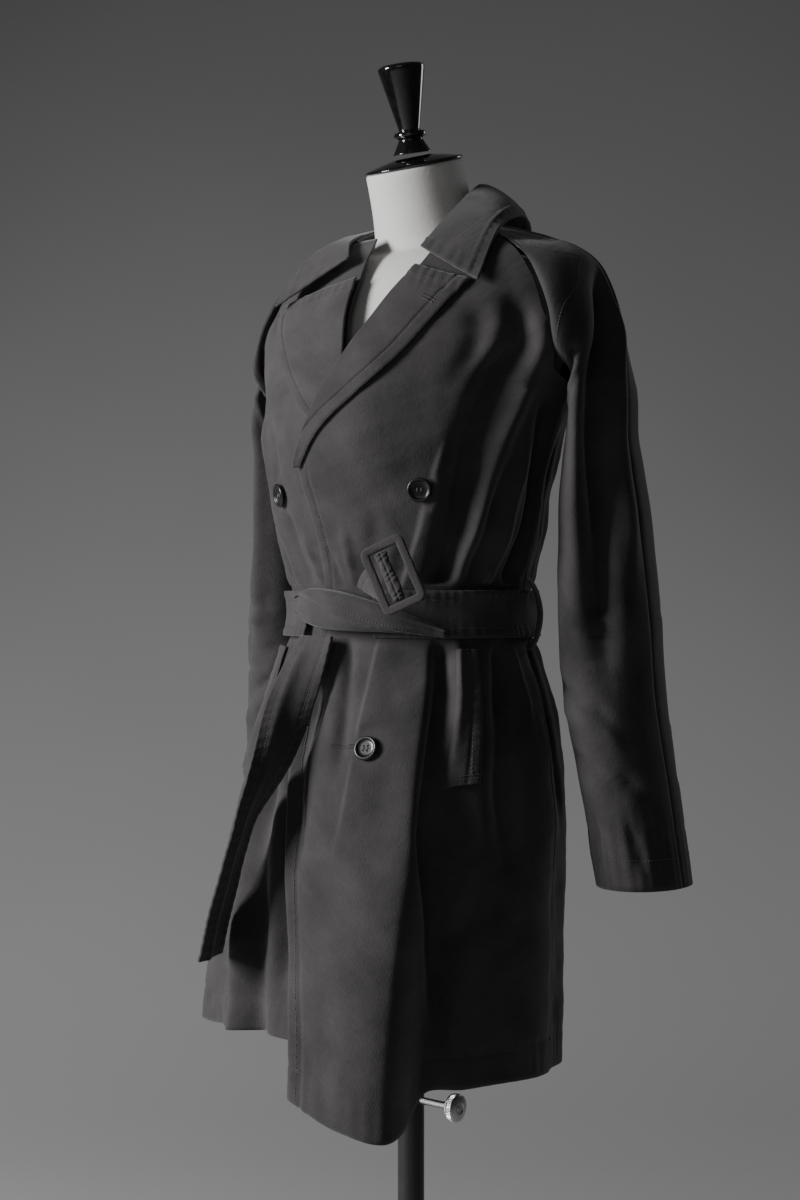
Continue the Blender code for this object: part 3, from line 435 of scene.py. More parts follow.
def linen(name):
    """Stretched off-white cloth: crossed fine threads and very soft shading."""
    made = Finish(name, {"Roughness": 0.72, "Sheen Weight": 0.15, "Sheen Roughness": 0.5})
    warp = made.noise(made.place("Object", (1500, 1500, 160)), 1.0, 1.0)
    weft = made.noise(made.place("Object", (200, 200, 1700)), 1.0, 1.0)
    clouds = made.noise(made.place("Object"), 9.0, 2.0)
    share = made.clamp(0.35 * warp + 0.35 * weft + 0.5 * clouds, 0.35, 0.85)
    made.fill(made.shader, {"Base Color": made.colour(share, (0.60, 0.59, 0.575), (0.76, 0.75, 0.735))})
    made.bump(warp + weft, 0.0006, 0.35)
    return made.material


def iron(name):
    """Satin black paint over iron, with fine orange-peel and rubbed spots."""
    made = Finish(name, {"Coat Weight": 0.3, "Coat Roughness": 0.2})
    peel = made.noise(made.place("Object"), 420.0, 2.0)
    rubbed = made.clamp(made.noise(made.place("Object"), 14.0, 4.0, 0.65), 0.52, 0.80)
    made.fill(made.shader, {"Base Color": made.colour(rubbed, (0.008, 0.008, 0.009), (0.022, 0.022, 0.023)),
                            "Roughness": 0.34 + 0.16 * peel})
    made.bump(peel, 0.0005, 0.25)
    return made.material


def steel(name):
    """Bright turned steel with ring marks."""
    made = Finish(name, {"Metallic": 1.0})
    rings = made.noise(made.place("Object", (2600, 60, 60)), 1.0, 2.0)
    made.fill(made.shader, {"Base Color": made.colour(rings, (0.50, 0.50, 0.51), (0.72, 0.72, 0.73)),
                            "Roughness": 0.20 + 0.22 * rings})
    made.bump(rings, 0.0003, 0.4)
    return made.material


def plain_stage(name, dark, light):
    """Matt paper floor."""
    made = Finish(name, {"Roughness": 0.9})
    made.fill(made.shader, {"Base Color": made.colour(made.noise(made.place("Object"), 1.2), dark, light)})
    return made.material


TWILL = twill("charcoal cotton twill", (0.023, 0.0211, 0.0219), (0.058, 0.0533, 0.0552))
TRIMS = twill("charcoal twill trims", (0.025, 0.0229, 0.0238), (0.062, 0.0570, 0.0590))
THREAD = thread("charcoal thread", (0.050, 0.047, 0.048), (0.115, 0.108, 0.110))
HORN = polished("black horn buttons", (0.006, 0.006, 0.006), (0.017, 0.0155, 0.0150),
                0.36, 0.2, (60, 500, 60))
LACQUER = polished("black lacquered wood", (0.003, 0.003, 0.003), (0.010, 0.009, 0.009), 0.12, 1.0,
                   (300, 300, 20))
LINEN = linen("off-white stretched linen")
IRON = iron("black painted iron")
STEEL = steel("bright steel")


# ---- Mesh tools -------------------------------------------------------------------
def shade(mesh, angle=60):
    """Smooth shading with sharp edges past an angle."""
    mesh.shade_smooth()
    mesh.set_sharp_from_angle(angle=math.radians(angle))


def finish_object(name, mesh, material):
    """Link a mesh as a named piece that rides with the form."""
    mesh.materials.append(material)
    thing = bpy.data.objects.new(name, mesh)
    bpy.context.scene.collection.objects.link(thing)
    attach(thing, "form")
    return thing


def grid_mesh(name, points, close_across=False):
    """Quads over a grid of points, rows down and columns across, facing the side from
    which the columns run to the right; the UV map is in metres along the cloth."""
    rows, columns = points.shape[:2]
    index = np.arange(rows * columns).reshape(rows, columns)
    if close_across:
        index = np.concatenate([index, index[:, :1]], axis=1)
    quads = np.stack([index[1:, :-1], index[1:, 1:], index[:-1, 1:], index[:-1, :-1]], axis=-1)
    quads = quads.reshape(-1, 4)
    mesh = bpy.data.meshes.new(name)
    mesh.vertices.add(rows * columns)
    mesh.vertices.foreach_set("co", points.reshape(-1).astype(np.float32))
    mesh.loops.add(quads.size)
    mesh.loops.foreach_set("vertex_index", quads.reshape(-1).astype(np.int32))
    mesh.polygons.add(len(quads))
    mesh.polygons.foreach_set("loop_start", np.arange(0, quads.size, 4, dtype=np.int32))
    mesh.update(calc_edges=True)
    wide = np.cumsum(np.linalg.norm(np.diff(points, axis=1, prepend=points[:, :1]), axis=-1), axis=1)
    tall = np.cumsum(np.linalg.norm(np.diff(points, axis=0, prepend=points[:1]), axis=-1), axis=0)
    spot = np.stack([wide, -tall], axis=-1).reshape(-1, 2)
    layer = mesh.uv_layers.new(name="cloth")
    layer.data.foreach_set("uv", spot[quads.reshape(-1)].reshape(-1).astype(np.float32))
    return mesh


def cloth_sizes(points):
    """Flat width, length and area of a grid of cloth, measured along it."""
    across = np.linalg.norm(np.diff(points, axis=1), axis=-1).sum(axis=1)
    down = np.linalg.norm(np.diff(points, axis=0), axis=-1).sum(axis=0)
    one = np.cross(points[1:, 1:] - points[:-1, :-1], points[1:, :-1] - points[:-1, 1:])
    area = np.linalg.norm(one, axis=-1).sum() / 2
    width, length = float(across.max()), float(down.max())
    return width, length, min(float(area), width * length)


def cloth(name, points, node, material=None, wall=0.0018):
    """One cut piece of cloth from its outer face, with its wall inwards."""
    mesh = grid_mesh(name, points)
    shade(mesh, 50)
    thing = finish_object(name, mesh, material or TWILL)
    solid = thing.modifiers.new("wall", "SOLIDIFY")
    solid.thickness = wall
    solid.offset = -1
    if node:
        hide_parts(node)
    width, length, area = cloth_sizes(points)
    return thing


STITCH_SHAPE = np.array([(-1, 0, 0), (-.45, -1, 0), (-.45, 0, 1), (-.45, 1, 0), (-.45, 0, -1),
                         (.45, -1, 0), (.45, 0, 1), (.45, 1, 0), (.45, 0, -1), (1, 0, 0)])
STITCH_FACES = [(0, 2, 1), (0, 3, 2), (0, 4, 3), (0, 1, 4), (9, 5, 6), (9, 6, 7), (9, 7, 8), (9, 8, 5),
                (1, 2, 6, 5), (2, 3, 7, 6), (3, 4, 8, 7), (4, 1, 5, 8)]


def stitch_places(points, normals, pitch):
    """Centres, directions and normals at even steps along a line of points."""
    run = np.concatenate([[0], np.cumsum(np.linalg.norm(np.diff(points, axis=0), axis=1))])
    at = np.arange(pitch * 0.5, run[-1], pitch)
    pick = [np.interp(at, run, points[:, i]) for i in range(3)]
    centre = np.stack(pick, axis=1)
    ahead = np.stack([np.interp(at + 0.0015, run, points[:, i]) for i in range(3)], axis=1)
    behind = np.stack([np.interp(at - 0.0015, run, points[:, i]) for i in range(3)], axis=1)
    normal = np.stack([np.interp(at, run, normals[:, i]) for i in range(3)], axis=1)
    return centre, ahead - behind, normal


def unit(vectors):
    """Rows scaled to length 1."""
    return vectors / np.maximum(np.linalg.norm(vectors, axis=-1, keepdims=True), 1e-9)


def stitch_mesh(name, runs, length=0.0025, wide=0.00042, high=0.00034, rise=0.00022):
    """Small spindles of thread at every centre, along its direction, half sunk in the cloth."""
    centre, ahead, normal = (np.concatenate([run[i] for run in runs]) for i in range(3))
    ahead, normal = unit(ahead), unit(normal)
    aside = unit(np.cross(normal, ahead))
    shape = STITCH_SHAPE * (length / 2, wide, high)
    points = ((centre + normal * rise)[:, None] + shape[None, :, :1] * ahead[:, None]
              + shape[None, :, 1:2] * aside[:, None] + shape[None, :, 2:] * normal[:, None])
    count = len(centre)
    faces = [tuple(base * 10 + i for i in face) for base in range(count) for face in STITCH_FACES]
    mesh = bpy.data.meshes.new(name)
    mesh.from_pydata(points.reshape(-1, 3).tolist(), [], faces)
    mesh.shade_smooth()
    return finish_object(name, mesh, THREAD)


def seam_line(surface, down, across, pitch=0.0034):
    """Stitch places on a surface along lines of shares."""
    return stitch_places(surface(down, across), normals_of(surface, down, across), pitch)


def inset_line(surface, edge, distance, first=0.0, last=1.0, count=240):
    """Shares of a line at a distance in metres inside one edge of a surface."""
    run = np.linspace(first, last, count)
    small = 0.004
    if edge in ("low", "high"):
        start = 0.0 if edge == "low" else 1.0
        inner = small if edge == "low" else 1 - small
        gap = np.linalg.norm(surface(run, run * 0 + inner) - surface(run, run * 0 + start), axis=-1)
        share = distance / np.maximum(gap, 1e-6) * small
        return run, share if edge == "low" else 1 - share
    start = 0.0 if edge == "top" else 1.0
    inner = small if edge == "top" else 1 - small
    gap = np.linalg.norm(surface(run * 0 + inner, run) - surface(run * 0 + start, run), axis=-1)
    share = distance / np.maximum(gap, 1e-6) * small
    return (share if edge == "top" else 1 - share), run


# ---- Drape of the coat ------------------------------------------------------------
# Folds on the body: rise, width (metres), lean, fade in, fade out, then (degrees, height).
BODY_FOLDS = (
    # left front above the belt
    (-0.0150, 0.0150, 1.15, 0.12, 0.02, (46, 1.358), (52, 1.319), (54, 1.265), (53, 1.200),
     (49.5, 1.125), (44.5, 1.064)),
    (0.0090, 0.0110, 1.1, 0.12, 0.02, (53, 1.341), (60, 1.308), (67, 1.262), (66, 1.200), (59, 1.125),
     (50.6, 1.064)),
    (-0.0080, 0.0085, 1.0, 0.30, 0.02, (74, 1.200), (66.5, 1.135), (58, 1.064)),
    (0.0070, 0.0080, 1.0, 0.30, 0.02, (81, 1.215), (77, 1.150), (72.5, 1.100), (66, 1.064)),
    (-0.0130, 0.0120, 1.2, 0.20, 0.02, (78, 1.262), (88, 1.200), (89, 1.130), (80, 1.064)),
    (0.0050, 0.0080, 2.8, 0.35, 0.04, (45.5, 1.215), (43, 1.180), (38, 1.131), (31.5, 1.081), (28, 1.056)),
    (-0.0060, 0.0110, 1.0, 0.30, 0.30, (37, 1.345), (41, 1.300), (43, 1.250)),
    (-0.0022, 0.0090, 1.0, 0.40, 0.05, (20, 1.150), (18, 1.110), (15, 1.066)),
    (0.0022, 0.0080, 1.0, 0.40, 0.05, (27, 1.120), (24, 1.090), (21, 1.066)),
    (-0.0030, 0.0060, 1.0, 0.40, 0.02, (-4, 1.110), (-2, 1.085), (1, 1.064)),
    (0.0028, 0.0060, 1.0, 0.40, 0.02, (5, 1.130), (6, 1.095), (7, 1.064)),
    # left front below the belt
    (0.0050, 0.0080, 2.8, 0.02, 0.45, (19, 1.012), (17.2, 0.968), (16.5, 0.911), (17.6, 0.850),
     (16.8, 0.780)),
    (-0.0060, 0.0075, 1.0, 0.02, 0.55, (3.5, 1.012), (6.8, 0.968), (10, 0.910), (13.5, 0.850)),
    (-0.0150, 0.0090, 1.4, 0.02, 0.20, (43.8, 1.012), (43, 0.969), (41.5, 0.895), (43, 0.822),
     (49, 0.740), (55, 0.610)),
    (-0.0150, 0.0140, 1.2, 0.15, 0.20, (-8, 0.985), (-9, 0.930), (-5, 0.850), (-1, 0.780), (3, 0.700),
     (6, 0.640)),
    (0.0045, 0.0070, 1.0, 0.02, 0.60, (52.3, 1.012), (51.5, 0.950), (50, 0.890)),
    (-0.0150, 0.0120, 1.0, 0.02, 0.35, (75, 1.012), (70.5, 0.950), (69, 0.892), (70, 0.836), (76, 0.760)),
    (0.0040, 0.0070, 1.0, 0.02, 0.60, (81, 1.012), (83, 0.968), (84, 0.900)),
    (-0.0025, 0.0150, 1.0, 0.30, 0.25, (27, 0.940), (29, 0.860), (33, 0.760), (36, 0.660)),
    (0.0020, 0.0100, 1.0, 0.20, 0.30, (62, 0.860), (63, 0.780), (66, 0.680)),
    (-0.0018, 0.0090, 1.0, 0.30, 0.05, (22, 0.700), (24, 0.630), (25, 0.562)),
    # right front above the belt
    (-0.0050, 0.0080, 1.0, 0.25, 0.02, (-40, 1.260), (-34, 1.180), (-27, 1.110), (-21, 1.064)),
    (0.0045, 0.0090, 1.0, 0.25, 0.02, (-50, 1.270), (-46, 1.190), (-38, 1.115), (-31, 1.064)),
    (-0.0060, 0.0080, 1.0, 0.20, 0.02, (-60, 1.280), (-58, 1.190), (-50, 1.110), (-42, 1.064)),
    (0.0045, 0.0085, 1.0, 0.25, 0.02, (-72, 1.240), (-68, 1.160), (-60, 1.064)),
    (-0.0060, 0.0085, 1.0, 0.25, 0.02, (-84, 1.240), (-82, 1.150), (-73, 1.064)),
    (0.0030, 0.0060, 1.0, 0.40, 0.02, (-19, 1.130), (-16, 1.095), (-12, 1.064)),
    # right front below the belt
    (-0.0060, 0.0080, 1.0, 0.02, 0.40, (-24, 1.012), (-27, 0.960), (-29, 0.900), (-30, 0.820)),
    (-0.0150, 0.0130, 1.0, 0.20, 0.05, (-27, 0.930), (-21, 0.850), (-14, 0.760), (-8, 0.680), (-4, 0.600)),
    (0.0070, 0.0100, 1.0, 0.20, 0.05, (-36, 0.930), (-30, 0.850), (-24, 0.760), (-18, 0.680), (-14, 0.600)),
    (-0.0100, 0.0110, 1.0, 0.20, 0.05, (-45, 0.900), (-40, 0.850), (-33, 0.760), (-28, 0.680), (-25, 0.600)),
    (0.0040, 0.0080, 1.0, 0.02, 0.50, (-34, 1.012), (-37, 0.950), (-40, 0.880)),
    (-0.0065, 0.0090, 1.0, 0.02, 0.30, (-44, 1.012), (-48, 0.930), (-50, 0.840), (-50, 0.740)),
    (0.0040, 0.0080, 1.0, 0.02, 0.50, (-60, 1.012), (-64, 0.930), (-66, 0.850)),
    (-0.0070, 0.0095, 1.0, 0.02, 0.35, (-75, 1.012), (-80, 0.930), (-84, 0.830), (-85, 0.740)),
    (0.0030, 0.0100, 1.0, 0.30, 0.10, (-20, 0.880), (-16, 0.780), (-12, 0.660)),
    # back above the belt
    (-0.0055, 0.0090, 1.0, 0.30, 0.02, (104, 1.240), (108, 1.150), (112, 1.064)),
    (0.0050, 0.0090, 1.0, 0.30, 0.02, (116, 1.250), (121, 1.150), (125, 1.064)),
    (-0.0060, 0.0090, 1.0, 0.25, 0.02, (130, 1.270), (134, 1.160), (137, 1.064)),
    (0.0045, 0.0080, 1.0, 0.35, 0.02, (146, 1.190), (148, 1.120), (150, 1.064)),
    (-0.0045, 0.0080, 1.0, 0.35, 0.02, (160, 1.220), (161, 1.130), (163, 1.064)),
    (0.0035, 0.0080, 1.0, 0.40, 0.02, (174, 1.180), (175, 1.110), (175, 1.064)),
    (-0.0045, 0.0085, 1.0, 0.35, 0.02, (187, 1.230), (187, 1.130), (188, 1.064)),
    (0.0045, 0.0080, 1.0, 0.35, 0.02, (203, 1.210), (201, 1.120), (200, 1.064)),
    (-0.0060, 0.0090, 1.0, 0.25, 0.02, (222, 1.270), (218, 1.160), (213, 1.064)),
    (0.0050, 0.0090, 1.0, 0.30, 0.02, (236, 1.250), (231, 1.150), (227, 1.064)),
    (-0.0050, 0.0085, 1.0, 0.30, 0.02, (252, 1.240), (247, 1.150), (242, 1.064)),
    # back below the belt
    (-0.0060, 0.0090, 1.0, 0.02, 0.40, (101, 1.012), (104, 0.920), (105, 0.800)),
    (0.0045, 0.0085, 1.0, 0.02, 0.50, (114, 1.012), (117, 0.930), (118, 0.840)),
    (-0.0060, 0.0090, 1.0, 0.02, 0.35, (128, 1.012), (132, 0.920), (134, 0.800), (135, 0.700)),
    (-0.0045, 0.0080, 1.0, 0.02, 0.50, (152, 1.012), (155, 0.940), (156, 0.860)),
    (-0.0065, 0.0095, 1.0, 0.02, 0.20, (172, 1.012), (171, 0.900), (170, 0.760), (170, 0.640)),
    (0.0035, 0.0080, 1.0, 0.02, 0.50, (184, 1.012), (186, 0.930), (187, 0.860)),
    (-0.0055, 0.0090, 1.0, 0.02, 0.40, (204, 1.012), (201, 0.920), (200, 0.800)),
    (-0.0060, 0.0090, 1.0, 0.02, 0.35, (231, 1.012), (227, 0.920), (226, 0.800), (226, 0.700)),
    (0.0045, 0.0085, 1.0, 0.02, 0.50, (244, 1.012), (241, 0.930), (240, 0.840)),
    (-0.0060, 0.0085, 1.0, 0.02, 0.40, (257, 1.012), (256, 0.920), (254, 0.820)),
)
FRONT_LOW = 0.58       # lowest level of the front rows before the hem line cuts them
GIRTH = 0.150          # metres of cloth to one radian, near enough for the folds
# Flat spots on the cloth: degrees, height, radius. Buttons and the free belt end lie there.
CALM_SPOTS = ((35.2, 1.158, 0.018), (21.5, 0.904, 0.018), (-30.0, 1.158, 0.018), (-37.0, 0.906, 0.018))


def body_lines():
    """The body folds with their degrees turned to metres of cloth."""
    rows = []
    for rise, width, lean, fade_in, fade_out, *line in BODY_FOLDS:
        spots = [(math.radians(degrees) * GIRTH, z) for degrees, z in line]
        rows.append((rise, width, lean, fade_in, fade_out, *spots))
    return rows


BODY_LINES = body_lines()


def fold_rise(angle, z):
    """Sum of the skirt folds' bumps, growing from the belt to the hem."""
    degrees = (np.degrees(angle) + 180) % 360 - 180
    total = np.zeros_like(degrees)
    for centre, right, left, rise in FOLDS:
        away = (degrees - centre + 180) % 360 - 180
        spread = np.where(away < 0, right, left)
        total = total + rise * np.exp(-(away / spread) ** 2)
    return total * ramp((FOLD_TOP - z) / (FOLD_TOP - FOLD_BOTTOM)) ** 0.8


def body_point(angle, z):
    """Coat surface: half ellipses joined at the sides, pushed out by the folds."""
    centre_x, centre_y, width, front, back = np.moveaxis(along(BODY, z), -1, 0)
    depth = np.where(np.cos(angle) > 0, front, back)
    out = fold_rise(angle, z)
    return np.stack([centre_x + (width + out) * np.sin(angle),
                     centre_y - (depth + out) * np.cos(angle),
                     z + 0 * angle], axis=-1)


def body_layer(angle, z, lift):
    """The coat surface moved out along its normal by `lift`."""
    small = 0.002
    angle, z = np.broadcast_arrays(np.asarray(angle, float), np.asarray(z, float))
    across = body_point(angle + small, z) - body_point(angle - small, z)
    up = body_point(angle, z + small) - body_point(angle, z - small)
    normal = unit(np.cross(across, up))
    return body_point(angle, z) + normal * np.asarray(lift)[..., None]


def drape(angle, z):
    """Height of the small folds: full on open cloth, nearly none under the belt, at the
    buttons and at the hem's edge."""
    turn = np.where(angle < math.radians(-100), angle + 2 * math.pi, angle)
    u = turn * GIRTH
    total = creases(BODY_LINES, u, z)
    total = total + 0.0009 * uneven(u, z, 1.3, 0.070) + 0.0005 * uneven(u, z, 4.1, 0.026)
    belt = ramp((np.abs(z - WAIST_Z) - 0.021) / 0.022)
    calm = 0.10 + 0.90 * belt
    for degrees, height, radius in CALM_SPOTS:
        away = np.hypot(u - math.radians(degrees) * GIRTH, z - height)
        calm = calm * (0.12 + 0.88 * ramp((away - radius * 0.8) / (radius * 0.7)))
    return total * calm


def angle_of_x(x, z):
    """Angle on the front half where the smooth body section has this x."""
    centre_x, _, width, _, _ = np.moveaxis(along(BODY, z), -1, 0)
    return np.arcsin(np.clip((x - centre_x) / width, -1, 1))


def heights(top, bottom, share):
    """Heights of the rows of a body panel, closer together at the waist and underarm."""
    marks = np.array((0.0, 0.10, 0.22, 0.36, 0.50, 0.74, 1.0))
    levels = np.stack([top, top * 0 + 1.352, top * 0 + 1.266, top * 0 + 1.12,
                       top * 0 + WAIST_Z, top * 0 + 0.84, bottom], axis=-1)
    i = np.clip(np.searchsorted(marks, share) - 1, 0, len(marks) - 2)
    t = (share - marks[i]) / (marks[i + 1] - marks[i])
    low = np.take_along_axis(levels, i[..., None], -1)[..., 0]
    high = np.take_along_axis(levels, i[..., None] + 1, -1)[..., 0]
    return low + (high - low) * t


def outer_angle(z, back):
    """Angle of a panel's outer edge: the raglan seam above the underarm, else the side seam."""
    column = 1 if back else 0
    centre_x, _, width, _, _ = np.moveaxis(along(BODY, z), -1, 0)
    seam_x = along(RAGLAN, z)[..., column]
    raglan = np.arcsin(np.clip((seam_x - centre_x) / width, -1, 1))
    raglan = math.pi - raglan if back else raglan
    blend = ramp((z - UNDERARM_Z + 0.012) / 0.030)
    return SIDE_SEAM * (1 - blend) + raglan * blend


def seam_hollow(distance, depth=0.0009, at=0.0, wide=0.0015):
    """A stitched line pulls the cloth down: -depth * exp(-((distance - at) / wide)^2)."""
    return -depth * np.exp(-((distance - at) / wide) ** 2)


def puckers(run, distance, inner, high=0.00026, pitch=0.011):
    """Small ripples across a stitched edge, strongest on its line and gone past it."""
    wave = np.sin(run * 2 * math.pi / pitch + 1.4 * np.sin(run * 61) + 0.9 * np.sin(run * 143))
    return high * wave * np.exp(-((distance - inner * 0.6) / (inner * 0.7)) ** 2)


# ---- Body panels ------------------------------------------------------------------
EDGE_STITCH = 0.0125       # edge topstitching, this far inside an edge
HEM_STITCH = 0.032
RAGLAN_STITCH = 0.0062


def back_surface(down, across):
    """Outer face of the back: raglan and side seams at both edges, and the centre seam."""
    side = across * 2 - 1
    angle = math.pi - side * (math.pi - SIDE_SEAM)
    bottom = along(HEM_LEFT, np.degrees(SIDE_SEAM) + 0 * angle)[..., 0]
    z = heights(BACK_TOP + 0 * angle, bottom, down)
    edge = outer_angle(z, back=True) + SEAM_GAP / GIRTH
    angle = math.pi + side * (math.pi - edge)
    middle = (angle - math.pi) * GIRTH
    lift = drape(angle, z) + seam_hollow(middle, 0.0012)
    lift = lift + seam_hollow(z - bottom, 0.0010, HEM_STITCH) + puckers(middle, z - bottom, HEM_STITCH)
    return body_layer(angle, z, lift)


def front_lift(angle, z, lift, side):
    """Height of a front over the coat surface: its own layer, and on the left front some
    room for the right lapel below it, both fading out towards the side seam."""
    away = np.abs(np.degrees(angle))
    room = LAPEL_ROOM * ramp((z - LAPEL_BREAK_Z + 0.035) / 0.045) * (1 - ramp((away - 12) / 24))
    return lift * (1 - ramp((away - 45) / 35)) + room * (side > 0)


def front_spots(side, down, across):
    """Angle and height of a front panel's shares, counted from its front edge."""
    edge_table, hem_table = (LEFT_EDGE, HEM_LEFT) if side > 0 else (RIGHT_EDGE, HEM)
    top = FRONT_TOP + 0 * down
    z = heights(top, FRONT_LOW + 0 * down, down)
    reach = side * (outer_angle(z, back=False) - SEAM_GAP / GIRTH)
    for _ in range(3):
        inner = angle_of_x(along(edge_table, z)[..., 0], z)
        angle = inner + (reach - inner) * across
        hem = along(hem_table, np.degrees(angle))[..., 0]
        z = heights(top, hem, down)
        reach = side * (outer_angle(z, back=False) - SEAM_GAP / GIRTH)
    return angle, z, inner, hem


# Buttonholes on the left front: x of both ends, height.
BUTTONHOLES = ((-0.007, 0.017, 1.161), (0.016, 0.044, 0.906))


def front_surface(side):
    """Outer face of one front with its edge stitching, hem and buttonholes pressed in."""
    def surface(down, across):
        angle, z, inner, hem = front_spots(side, down, across)
        off_edge = np.abs(angle - inner) * GIRTH
        below = 1 - ramp((z - LAPEL_BREAK_Z + 0.01) / 0.02)
        lift = front_lift(angle, z, LAYER if side > 0 else 0.0, side)
        near = ramp(off_edge / 0.022)
        lift = lift + drape(angle, z) * (0.35 + 0.65 * near)
        lift = lift + below * seam_hollow(off_edge, 0.0011, EDGE_STITCH)
        lift = lift + below * puckers(z, off_edge, EDGE_STITCH)
        lift = lift - below * 0.0010 * np.exp(-(off_edge / 0.0016) ** 2)
        lift = lift + seam_hollow(z - hem, 0.0010, HEM_STITCH) + puckers(angle * GIRTH, z - hem, HEM_STITCH)
        if side > 0:
            x = body_point(angle, z)[..., 0]
            for start, end, height in BUTTONHOLES:
                inside = ramp((x - start + 0.001) / 0.002) * ramp((end - x + 0.001) / 0.002)
                lift = lift - 0.0012 * inside * np.exp(-((z - height) / 0.0007) ** 2)
        return body_layer(angle, z, lift)
    return surface


def back_panels():
    """The back, and its hem and raglan stitching."""
    points = back_surface(*grid(180, 160))
    piece = cloth("coat_back_cloth", points, "coat_back")
    runs = []
    top_share = 0.224
    for edge in ("low", "high"):
        down, across = inset_line(back_surface, edge, RAGLAN_STITCH, 0.02, top_share)
        runs.append(seam_line(back_surface, down, across))
    down, across = inset_line(back_surface, "bottom", HEM_STITCH, 0.003, 0.997, 700)
    runs.append(seam_line(back_surface, down, across))
    return piece, runs


def front_panels():
    """Both fronts with edge and hem stitching."""
    pieces, runs = [], []
    for side, label, columns in ((1, "left", 165), (-1, "right", 110)):
        surface = front_surface(side)
        points = surface(*grid(220, columns))
        points = points if side > 0 else points[:, ::-1]
        pieces.append(cloth("front_" + label + "_cloth", points, "front_" + label))
        flow = surface if side > 0 else mirrored(surface)
        edge = "low" if side > 0 else "high"
        down, across = inset_line(flow, edge, EDGE_STITCH, 0.345, 0.997, 500)
        runs.append(seam_line(flow, down, across))
        down, across = inset_line(flow, "bottom", HEM_STITCH, 0.02, 0.997, 500)
        runs.append(seam_line(flow, down, across))
    return pieces, runs


def mirrored(surface):
    """The same surface with its columns counted from the other edge."""
    return lambda down, across: surface(down, 1 - across)


# ---- Sleeves ----------------------------------------------------------------------
# Folds on a sleeve's front half: rise, width, lean, fade in, fade out, then (metres round
# from the over-arm seam, height).
ARM_GIRTH = 0.150
FRONT_ARM_FOLDS = (
    (-0.0200, 0.0140, 1.25, 0.10, 0.40, (0.022, 1.392), (0.027, 1.350), (0.032, 1.290),
     (0.038, 1.220), (0.042, 1.140), (0.046, 1.040), (0.050, 0.930)),
    (0.0075, 0.0090, 1.0, 0.15, 0.40, (0.006, 1.360), (0.009, 1.240), (0.013, 1.130), (0.016, 1.020)),
    (0.0070, 0.0130, 1.0, 0.20, 0.35, (0.066, 1.290), (0.066, 1.180), (0.072, 1.080), (0.078, 0.980)),
    (-0.0090, 0.0060, 1.0, 0.20, 0.25, (0.130, 1.240), (0.104, 1.268), (0.078, 1.300)),
    (0.0030, 0.0070, 1.0, 0.30, 0.30, (0.100, 1.235), (0.088, 1.255), (0.072, 1.285)),
    (-0.0028, 0.0046, 1.0, 0.30, 0.30, (0.020, 1.046), (0.060, 1.040), (0.105, 1.050)),
    (0.0020, 0.0050, 1.0, 0.30, 0.30, (0.030, 1.030), (0.065, 1.028), (0.110, 1.034)),
    (-0.0028, 0.0046, 1.0, 0.30, 0.30, (0.015, 1.016), (0.055, 1.014), (0.100, 1.022)),
    (-0.0024, 0.0042, 1.0, 0.30, 0.30, (0.035, 0.994), (0.075, 0.990), (0.115, 1.000)),
    (-0.0026, 0.0044, 1.0, 0.30, 0.30, (0.012, 0.972), (0.055, 0.974), (0.098, 0.980)),
    (-0.0046, 0.0062, 1.3, 0.25, 0.25, (0.130, 0.968), (0.085, 0.955), (0.040, 0.930)),
    (0.0030, 0.0090, 1.0, 0.25, 0.25, (0.120, 0.945), (0.080, 0.932), (0.036, 0.908)),
    (-0.0046, 0.0060, 1.2, 0.25, 0.25, (0.118, 0.905), (0.075, 0.885), (0.020, 0.866)),
    (0.0026, 0.0080, 1.0, 0.25, 0.25, (0.112, 0.882), (0.070, 0.864), (0.020, 0.846)),
    (-0.0030, 0.0050, 1.0, 0.40, 0.20, (0.050, 0.840), (0.046, 0.812), (0.044, 0.786)),
    (-0.0030, 0.0060, 1.0, 0.40, 0.20, (0.085, 0.850), (0.090, 0.810), (0.092, 0.785)),
)
BACK_ARM_FOLDS = (
    (-0.0070, 0.0110, 1.1, 0.10, 0.30, (0.040, 1.370), (0.046, 1.280), (0.050, 1.180), (0.052, 1.080)),
    (0.0040, 0.0110, 1.0, 0.20, 0.30, (0.075, 1.320), (0.080, 1.200), (0.082, 1.080)),
    (-0.0060, 0.0100, 1.0, 0.20, 0.30, (0.108, 1.280), (0.104, 1.180), (0.100, 1.060)),
    (-0.0030, 0.0046, 1.0, 0.30, 0.30, (0.020, 1.040), (0.060, 1.034), (0.110, 1.044)),
    (-0.0030, 0.0050, 1.0, 0.30, 0.30, (0.030, 1.006), (0.070, 1.004), (0.115, 1.012)),
    (-0.0040, 0.0060, 1.2, 0.25, 0.25, (0.130, 0.975), (0.085, 0.958), (0.030, 0.940)),
    (0.0028, 0.0090, 1.0, 0.25, 0.25, (0.120, 0.950), (0.080, 0.935), (0.030, 0.915)),
    (-0.0040, 0.0060, 1.2, 0.25, 0.25, (0.120, 0.900), (0.070, 0.886), (0.018, 0.872)),
    (-0.0028, 0.0055, 1.0, 0.40, 0.20, (0.070, 0.850), (0.066, 0.810), (0.064, 0.785)),
)
CUFF_STITCH = 0.030


def seam_point(z, back, side):
    """Point just past a body panel's raglan seam, where the sleeve's edge starts."""
    turn = SLEEVE_SEAM_GAP / along(BODY, z)[2]
    angle = outer_angle(z, back) + (-turn if back else turn)
    return body_layer(side * angle, z, SLEEVE_SEAM_GAP)


def worn_side(point, side):
    """A left sleeve's point as it lies on the given side of the wearer."""
    x, y, z = point
    tuck = along(RIGHT_TUCK, z)[0] if side < 0 else 0.0
    return (side * x + tuck, y, z)


